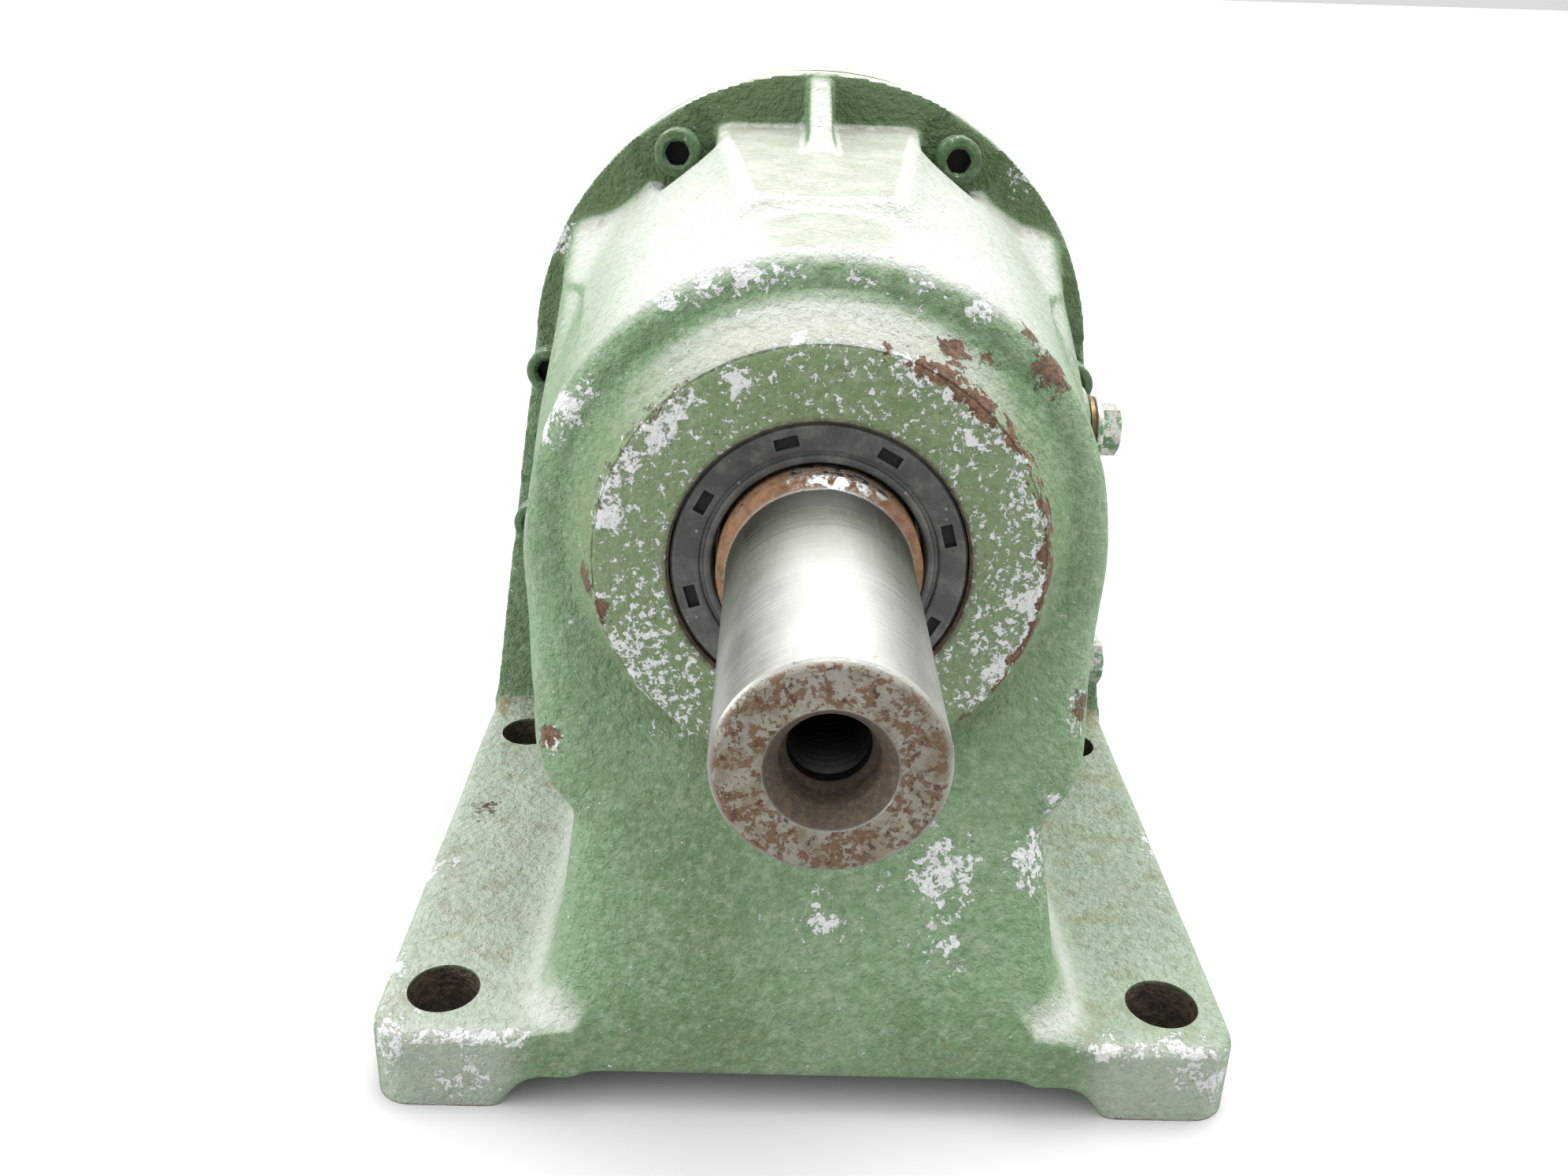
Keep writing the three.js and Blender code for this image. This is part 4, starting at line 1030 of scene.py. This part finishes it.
def green_paint():
    g = Graph("green_paint", 0.62)
    pale, rust = paint_wear(g)
    broad = g.noise(34.0, 4, 0.6)
    mottled = g.noise(2.4, 5, 0.7, shift=(2, 2, 9))
    cloud = g.noise(9.0, 5, 0.68, shift=(7, 3, 5))
    colour = g.blend((broad * 0.5 + mottled * 0.5).step(0.34, 0.6), GREEN_DARK, GREEN)
    up = g.facing_z.step(0.4, 0.95)
    on_foot = g.z.step(-101.0, -104.0)
    # Up-facing faces turn pale: partly dust and fading, partly painted top light; less on the feet, least on
    # the right foot.
    fade_and_top_light_share = up * (on_foot * (g.x.step(0.0, 60.0) * -0.22 - 0.45) + 1.05)
    fade_and_top_light = (fade_and_top_light_share + (mottled - 0.5) * 0.8 + (cloud - 0.5) * 0.3).clamped()
    colour = g.blend(fade_and_top_light, colour, PALE_GREEN_FADE_AND_LIGHT)
    colour = g.blend(mottled.step(0.54, 0.72) * 0.22, colour, (140, 160, 122))
    corner = g.y.step(196.0, 215.0) * up
    settled = (g.noise(9.0, 6, 0.72, shift=(4, 1, 4)) + on_foot * up * 0.05 + corner * 0.10).step(0.54, 0.70)
    colour = g.blend(settled * (up * 0.12 + on_foot * 0.3 + corner * 0.35 + 0.08), colour, GRIME)
    # Painted shade: the flange's front face is darkened as if shaded from the light above.
    flange_face_shade = g.facing_y.step(-0.7, -0.95) * g.y.step(215.0, 216.8) * g.z.step(-10.0, 40.0)
    colour = g.blend(flange_face_shade * 0.75, colour, (76, 98, 56))
    # Painted light: the feet's front faces are made paler, as if lit more strongly from the sides.
    foot_front_light = g.y.step(61.0, 57.0) * g.x.math("ABSOLUTE").step(60.0, 72.0)
    colour = g.blend(foot_front_light * 0.45, colour, PALE_GREEN_FADE_AND_LIGHT)
    around_boss = g.radius().step(58.0, 48.0) * g.y.step(98.0, 92.0)
    colour = g.blend(around_boss * 0.3, colour, (104, 104, 56))
    level_top = g.facing_z.step(0.95, 0.985) * g.z.step(60.0, 66.0)
    colour = g.blend(level_top * (cloud.step(0.35, 0.65) * 0.4 + 0.5), colour, (146, 152, 134))
    pits = g.noise(1.7, 4, 0.7, shift=(6, 6, 3)).step(0.34, 0.29)
    colour = g.blend(pits * 0.6, colour, (58, 78, 52))
    colour = g.blend(pale, colour, g.blend(cloud, (190, 196, 192), UNDERCOAT))
    brown = g.blend(g.noise(1.6, 5, 0.75).step(0.38, 0.62), RUST_DARK, RUST)
    colour = g.blend(rust, colour, brown)
    cut, machined = bored(g)
    raw = g.blend(mottled.step(0.35, 0.65), (58, 48, 38), (98, 84, 66))
    colour = g.blend(cut, colour, raw)
    colour = g.blend(machined, colour, g.blend(cloud.step(0.4, 0.62), (134, 130, 122), (104, 84, 66)))
    bare = pale.largest(rust)
    cast = g.noise(2.1, 4, 0.62, shift=(7, 7, 7))
    grain = g.noise(0.8, 3, 0.6)
    turned_face = g.y.step(84.5, 84.2) * g.radius().step(49.4, 48.6)
    height = (cast * 0.8 + grain * 0.2) * (turned_face * -0.6 + 1.0)
    normal = g.bump(height, 3.2, 0.9)
    normal = g.bump(bare.flipped(), 0.3, 0.9, normal)
    roughness = mottled * 0.25 + 0.42 + rust * 0.3 + pale * 0.12
    return g.finish(colour, roughness.clamped(), normal)


def recess_shade_paint():
    """Painted shade: near-black colour for the screws' sockets and the floors of the seal's mark pockets."""
    g = Graph("painted_recess_shade", 0.8)
    lumps = g.noise(0.9, 4, 0.7)
    colour = g.blend(lumps.step(0.4, 0.75), (10, 12, 10), RECESS_SHADE)
    return g.finish(colour, lumps * 0.2 + 0.7, g.bump(lumps, 0.2, 0.7))


def turning_marks(g, pitch=0.35):
    """Fine rings round the shaft axis, left by a lathe."""
    return g.noise(pitch, 2, 0.5, stretch=(400, 1, 400))


def shaft_steel():
    """The output shaft: bright where it was turned, with a painted highlight along its top and painted shade
    in its threaded hole, rusty on its end and beside the seal.
    """
    g = Graph("output_shaft_steel", 0.3, 1.0)
    radius = g.radius()
    marks = turning_marks(g)
    smear = g.noise(9.0, 4, 0.6, stretch=(1, 2.6, 1))
    on_end = g.y.step(1.3, 0.2) * radius.step(11.3, 11.6)
    in_mouth = g.y.step(0.1, 0.4) * g.y.step(9.2, 8.8) * radius.step(11.6, 11.3)
    thread_hole_shade = g.y.step(8.6, 9.2) * radius.step(9.0, 8.6)
    on_land = g.y.step(78.2, 79.8)
    steel = g.blend(marks.step(0.3, 0.7), (120, 121, 115), (156, 156, 150))
    steel = g.blend(smear.step(0.42, 0.68) * 0.6, steel, (96, 96, 89))
    # Painted highlight: a pale band along the top of the shaft.
    painted_highlight = g.x.math("ABSOLUTE").step(15.0, 3.0) * g.z.step(0.0, 14.0)
    steel = g.blend(painted_highlight * 0.5, steel, (222, 222, 218))
    blotch = g.noise(3.6, 6, 0.68, shift=(3, 1, 8), distortion=0.5)
    speck = g.noise(1.2, 5, 0.7, shift=(8, 1, 2))
    stain = (blotch * 0.5 + speck * 0.5).step(0.49, 0.535)
    tinge = g.noise(5.0, 4, 0.65, shift=(2, 2, 2)).step(0.42, 0.62)
    deep = g.noise(2.0, 5, 0.7, shift=(5, 0, 5)).step(0.5, 0.62)
    end_rust = g.blend(deep, (108, 84, 64), (72, 50, 38))
    land_noise = g.noise(2.6, 5, 0.66, shift=(6, 6, 1), distortion=0.3)
    worn_top = g.z.step(11.0, 21.0) * g.x.step(-15.0, 2.0) * 0.17
    land_rust = on_land * (land_noise - worn_top).step(0.30, 0.42)
    rust = (on_end * stain).largest(land_rust).largest(in_mouth * 0.72)
    light_rust = g.noise(1.5, 5, 0.72, shift=(2, 6, 2)).step(0.60, 0.70)
    rust = rust.largest(light_rust * g.y.step(10.0, 0.0) * 0.55)
    land_colour = g.blend(land_noise.step(0.35, 0.7), (140, 104, 74), (98, 70, 50))
    brown = g.blend(on_land, end_rust, land_colour)
    colour = g.blend(on_end * 0.8, steel, g.blend(tinge, (140, 135, 124), (116, 104, 84)))
    colour = g.blend(rust.clamped(), colour, brown)
    colour = g.blend(in_mouth * 0.8, colour, g.blend(speck.step(0.45, 0.6), (52, 43, 33), (84, 66, 48)))
    # Painted shade: the threaded hole is coloured near black and made less metallic.
    colour = g.blend(thread_hole_shade * 0.95, colour, (26, 23, 19))
    scratch = g.noise(1.0, 3, 0.6, stretch=(1, 40, 1), shift=(1, 1, 6)).step(0.62, 0.7)
    rough = marks * 0.16 + smear * 0.2 + rust * 0.5 + on_end * 0.18 + scratch * 0.08 + 0.13
    normal = g.bump(marks, 0.05, 0.35)
    normal = g.bump(rust * speck, 0.5, 0.75, normal)
    metal = rust * -0.85 + 1.0 - thread_hole_shade * 0.75 - in_mouth * 0.3
    return g.finish(colour, rough.clamped(), normal, metal.clamped())


def plain_steel(name, light, dark, roughness, marks_pitch=0.4):
    """Machined steel with an oily film and a few stains."""
    g = Graph(name, roughness, 1.0)
    marks = turning_marks(g, marks_pitch)
    film = g.noise(7.0, 4, 0.6)
    stain = g.noise(2.4, 5, 0.7, shift=(4, 4, 4)).step(0.62, 0.74)
    colour = g.blend(marks * 0.6 + film * 0.4, dark, light)
    colour = g.blend(stain * 0.5, colour, (120, 96, 72))
    rough = marks * 0.12 + film * 0.2 + stain * 0.25 + (roughness - 0.15)
    normal = g.bump(marks * 0.6 + film * 0.4, 0.06, 0.4)
    return g.finish(colour, rough.clamped(), normal, (stain * -0.5 + 1.0).clamped())


def rubber():
    g = Graph("seal_rubber", 0.42)
    marks = g.noise(1.1, 4, 0.6)
    dusty = g.noise(6.0, 4, 0.65, shift=(2, 9, 2))
    spots, chance = g.cells(2.2)
    grit = spots.step(0.22, 0.1) * chance.step(0.16, 0.12)
    colour = g.blend(dusty.step(0.4, 0.75), (72, 74, 72), (106, 108, 102))
    colour = g.blend(grit * 0.8, colour, (150, 150, 140))
    normal = g.bump(marks * 0.7 + grit, 0.12, 0.5)
    rough = dusty * 0.3 + grit * 0.2 + 0.28
    return g.finish(colour, rough.clamped(), normal)


def screw_paint():
    """Painted socket screws; their sockets take a second, near-black material of painted shade."""
    g = Graph("screw_paint", 0.5)
    mottled = g.noise(2.0, 4, 0.65)
    worn = g.noise(1.4, 5, 0.7, shift=(3, 3, 3))
    edge = g.facing_z.step(0.1, 0.9) * 0.12
    bare = (worn + edge).step(0.64, 0.70)
    colour = g.blend(mottled.step(0.3, 0.7), (54, 80, 48), (84, 110, 74))
    colour = g.blend(bare, colour, (176, 180, 172))
    normal = g.bump(mottled * 0.6 + worn * 0.4, 0.5, 0.5)
    normal = g.bump(bare.flipped(), 0.15, 0.6, normal)
    rough = mottled * 0.2 + 0.42 - bare * 0.1
    return g.finish(colour, rough.clamped(), normal, bare * 0.7)


def plug_steel():
    """Zinc-plated plugs with green overspray."""
    g = Graph("plug_steel", 0.35)
    spray = g.noise(3.0, 4, 0.65)
    painted = (spray - g.facing_z.step(0.3, 0.9) * 0.12).step(0.46, 0.54)
    worn = g.noise(1.0, 4, 0.7, shift=(6, 2, 1))
    steel = g.blend(worn.step(0.4, 0.7), (196, 196, 188), (140, 138, 126))
    colour = g.blend(painted, steel, (98, 132, 98))
    normal = g.bump(worn * 0.5 + painted * 0.5, 0.2, 0.6)
    rough = painted * 0.25 + worn * 0.2 + 0.22
    return g.finish(colour, rough.clamped(), normal, painted.flipped())


def copper():
    g = Graph("washer_copper", 0.35, 1.0)
    tarnish = g.noise(2.2, 5, 0.68)
    fine = g.noise(0.6, 3, 0.6)
    colour = g.blend(tarnish.step(0.35, 0.68), (128, 104, 78), (92, 80, 62))
    normal = g.bump(fine, 0.08, 0.5)
    return g.finish(colour, (tarnish * 0.35 + 0.2).clamped(), normal)


def gasket_paper():
    g = Graph("gasket_paper", 0.85)
    fibres = g.noise(0.8, 5, 0.7, stretch=(3, 1, 1))
    oil = g.noise(12.0, 4, 0.65).step(0.45, 0.65)
    colour = g.blend(fibres, (116, 104, 84), (158, 148, 124))
    colour = g.blend(oil * 0.6, colour, (70, 60, 44))
    normal = g.bump(fibres, 0.15, 0.6)
    return g.finish(colour, (fibres * 0.15 + 0.75 - oil * 0.3).clamped(), normal)


def dress(piece, *materials):
    piece.data.materials.clear()
    for material in materials:
        piece.data.materials.append(material)


# ---------- camera, light and floor ----------
def build_camera():
    """The lens and place that the photograph's perspective asks for."""
    pitch, yaw, roll = (math.radians(angle) for angle in (23.524, -0.695, 1.735))
    data = bpy.data.cameras.new("camera")
    data.lens = 32.37
    data.sensor_width = 36
    data.dof.use_dof = False
    camera = bpy.data.objects.new("camera", data)
    forward = Vector((-math.sin(yaw) * math.cos(pitch), math.cos(yaw) * math.cos(pitch), -math.sin(pitch)))
    level = Vector((math.cos(yaw), math.sin(yaw), 0))
    above = level.cross(forward)
    right = level * math.cos(roll) + above * math.sin(roll)
    up = above * math.cos(roll) - level * math.sin(roll)
    turn = Matrix((right, up, -forward)).transposed()
    camera.matrix_world = Matrix.Translation(ORIGIN + Vector((-10.80, -195.51, 117.06)) * MM) @ turn.to_4x4()
    bpy.context.scene.collection.objects.link(camera)
    bpy.context.scene.camera = camera


def area_light(name, place_at, target, size, power):
    data = bpy.data.lights.new(name, "AREA")
    data.shape = "RECTANGLE"
    data.size, data.size_y = size
    data.energy = power
    light = bpy.data.objects.new(name, data)
    light.location = place_at
    light.rotation_euler = (Vector(target) - Vector(place_at)).to_track_quat("-Z", "Y").to_euler()
    bpy.context.scene.collection.objects.link(light)


def build_world():
    """A bright studio, whiter overhead than at the sides and behind the camera."""
    world = bpy.data.worlds.new("studio")
    world.use_nodes = True
    bpy.context.scene.world = world
    tree = world.node_tree
    background = tree.nodes["Background"]
    direction = tree.nodes.new("ShaderNodeTexCoord")
    split = tree.nodes.new("ShaderNodeSeparateXYZ")
    tree.links.new(direction.outputs["Generated"], split.inputs[0])

    def ramp(socket, start, end, low, high):
        node = tree.nodes.new("ShaderNodeMapRange")
        tree.links.new(socket, node.inputs["Value"])
        values = {"From Min": start, "From Max": end, "To Min": low, "To Max": high}
        for name, value in values.items():
            node.inputs[name].default_value = value
        return node.outputs["Result"]

    def math_node(operation, *sockets):
        node = tree.nodes.new("ShaderNodeMath")
        node.operation = operation
        for index, socket in enumerate(sockets):
            tree.links.new(socket, node.inputs[index])
        return node.outputs[0]

    height = ramp(split.outputs["Z"], 0.0, 0.62, SIDE_BRIGHTNESS, SKY_BRIGHTNESS)
    front = ramp(split.outputs["Y"], -0.9, -0.1, 0.27, 1.0)
    sides = ramp(math_node("ABSOLUTE", split.outputs["X"]), 0.65, 0.98, 1.0, 1.9)
    strength = math_node("MULTIPLY", math_node("MULTIPLY", height, front), sides)
    tree.links.new(strength, background.inputs["Strength"])
    background.inputs["Color"].default_value = (1, 1, 1, 1)
    bpy.context.scene.view_settings.view_transform = "Standard"


def build_floor():
    reach = 30
    corners = [(-reach, -reach, 0), (reach, -reach, 0), (reach, reach, 0), (-reach, reach, 0)]
    floor = new_piece("floor", corners, [(0, 1, 2, 3)])
    g = Graph("floor_white", 0.6)
    soft = g.noise(400.0, 3, 0.5)
    fine = g.noise(3.0, 2, 0.5)
    colour = g.blend(soft, (188, 188, 188), (194, 194, 194))
    dress(floor, g.finish(colour, fine * 0.1 + 0.55, g.bump(fine, 0.02, 0.1)))


SKY_BRIGHTNESS = 2.5
SIDE_BRIGHTNESS = 0.72

build_camera()
build_world()
build_floor()
area_light("overhead", (0.25, 0.15, 1.4), (0, 0, 0.1), (0.7, 0.7), 9)
area_light("strip", (-0.06, 1.4, 0.75), (0, -0.12, 0.12), (0.34, 0.5), 3.0)
area_light("left", (-1.5, -0.5, 0.5), (0, 0, 0.1), (0.8, 0.8), 8)

paint = green_paint()
steel = plain_steel("plain_steel", (196, 196, 192), (150, 150, 146), 0.34)
FINISHES = {
    "casting": paint,
    "steel": steel,
    "hardened": plain_steel("hardened_steel", (168, 166, 160), (118, 116, 110), 0.32, 0.25),
    "blackened": plain_steel("blackened_steel", (62, 60, 58), (38, 37, 36), 0.45),
    "screw": screw_paint(),
    "rubber": rubber(),
    "paper": gasket_paper(),
    "copper": copper(),
}

recess_shade = recess_shade_paint()
for piece in (build_case(), build_cover()):
    dress(piece, paint)
dress(build_output_shaft(), shaft_steel())
dress(build_input_shaft(), steel)
dress(build_intermediate_shaft(), FINISHES["hardened"])
dress(build_wheel(
    "output_gear_wheel", "output", "output_gear", 38, -math.pi / 2 + math.pi / 38, 170, 196, 21, 12, 24,
), FINISHES["hardened"])
dress(build_wheel(
    "intermediate_gear_wheel", "intermediate", "intermediate_gear", 34, math.pi / 2 + math.pi / 34,
    205, 221, 11, 6, 13.5, -CENTRE_DISTANCE,
), FINISHES["hardened"])
dress(build_key("output_key_steel", "output", "output_key", 12, 8, 71, -23, -15), steel)
dress(build_key("input_key_steel", "input", "input_key", 8, 301, 341, 8, 15), steel)
build_seal("output_seal_rubber", 22.2, OUTPUT_SEAL_RADIUS, 85.2, -1, "output_seal", 8)
build_seal("input_seal_rubber", 14.7, 31.3, 295, 1, "input_seal", 8)
for name in screw_nodes():
    build_screw(name)
plug_finish = plug_steel()
for name in PLUG_FACES:
    dress(build_plug(name), plug_finish)
    dress(build_washer(name + "_washer"), FINISHES["copper"])

slots = {part["node"]: part["material_slot"] for part in frame["record"]["subparts"]}
for name, node in frame["nodes"].items():
    dress(node, FINISHES[slots[name]])
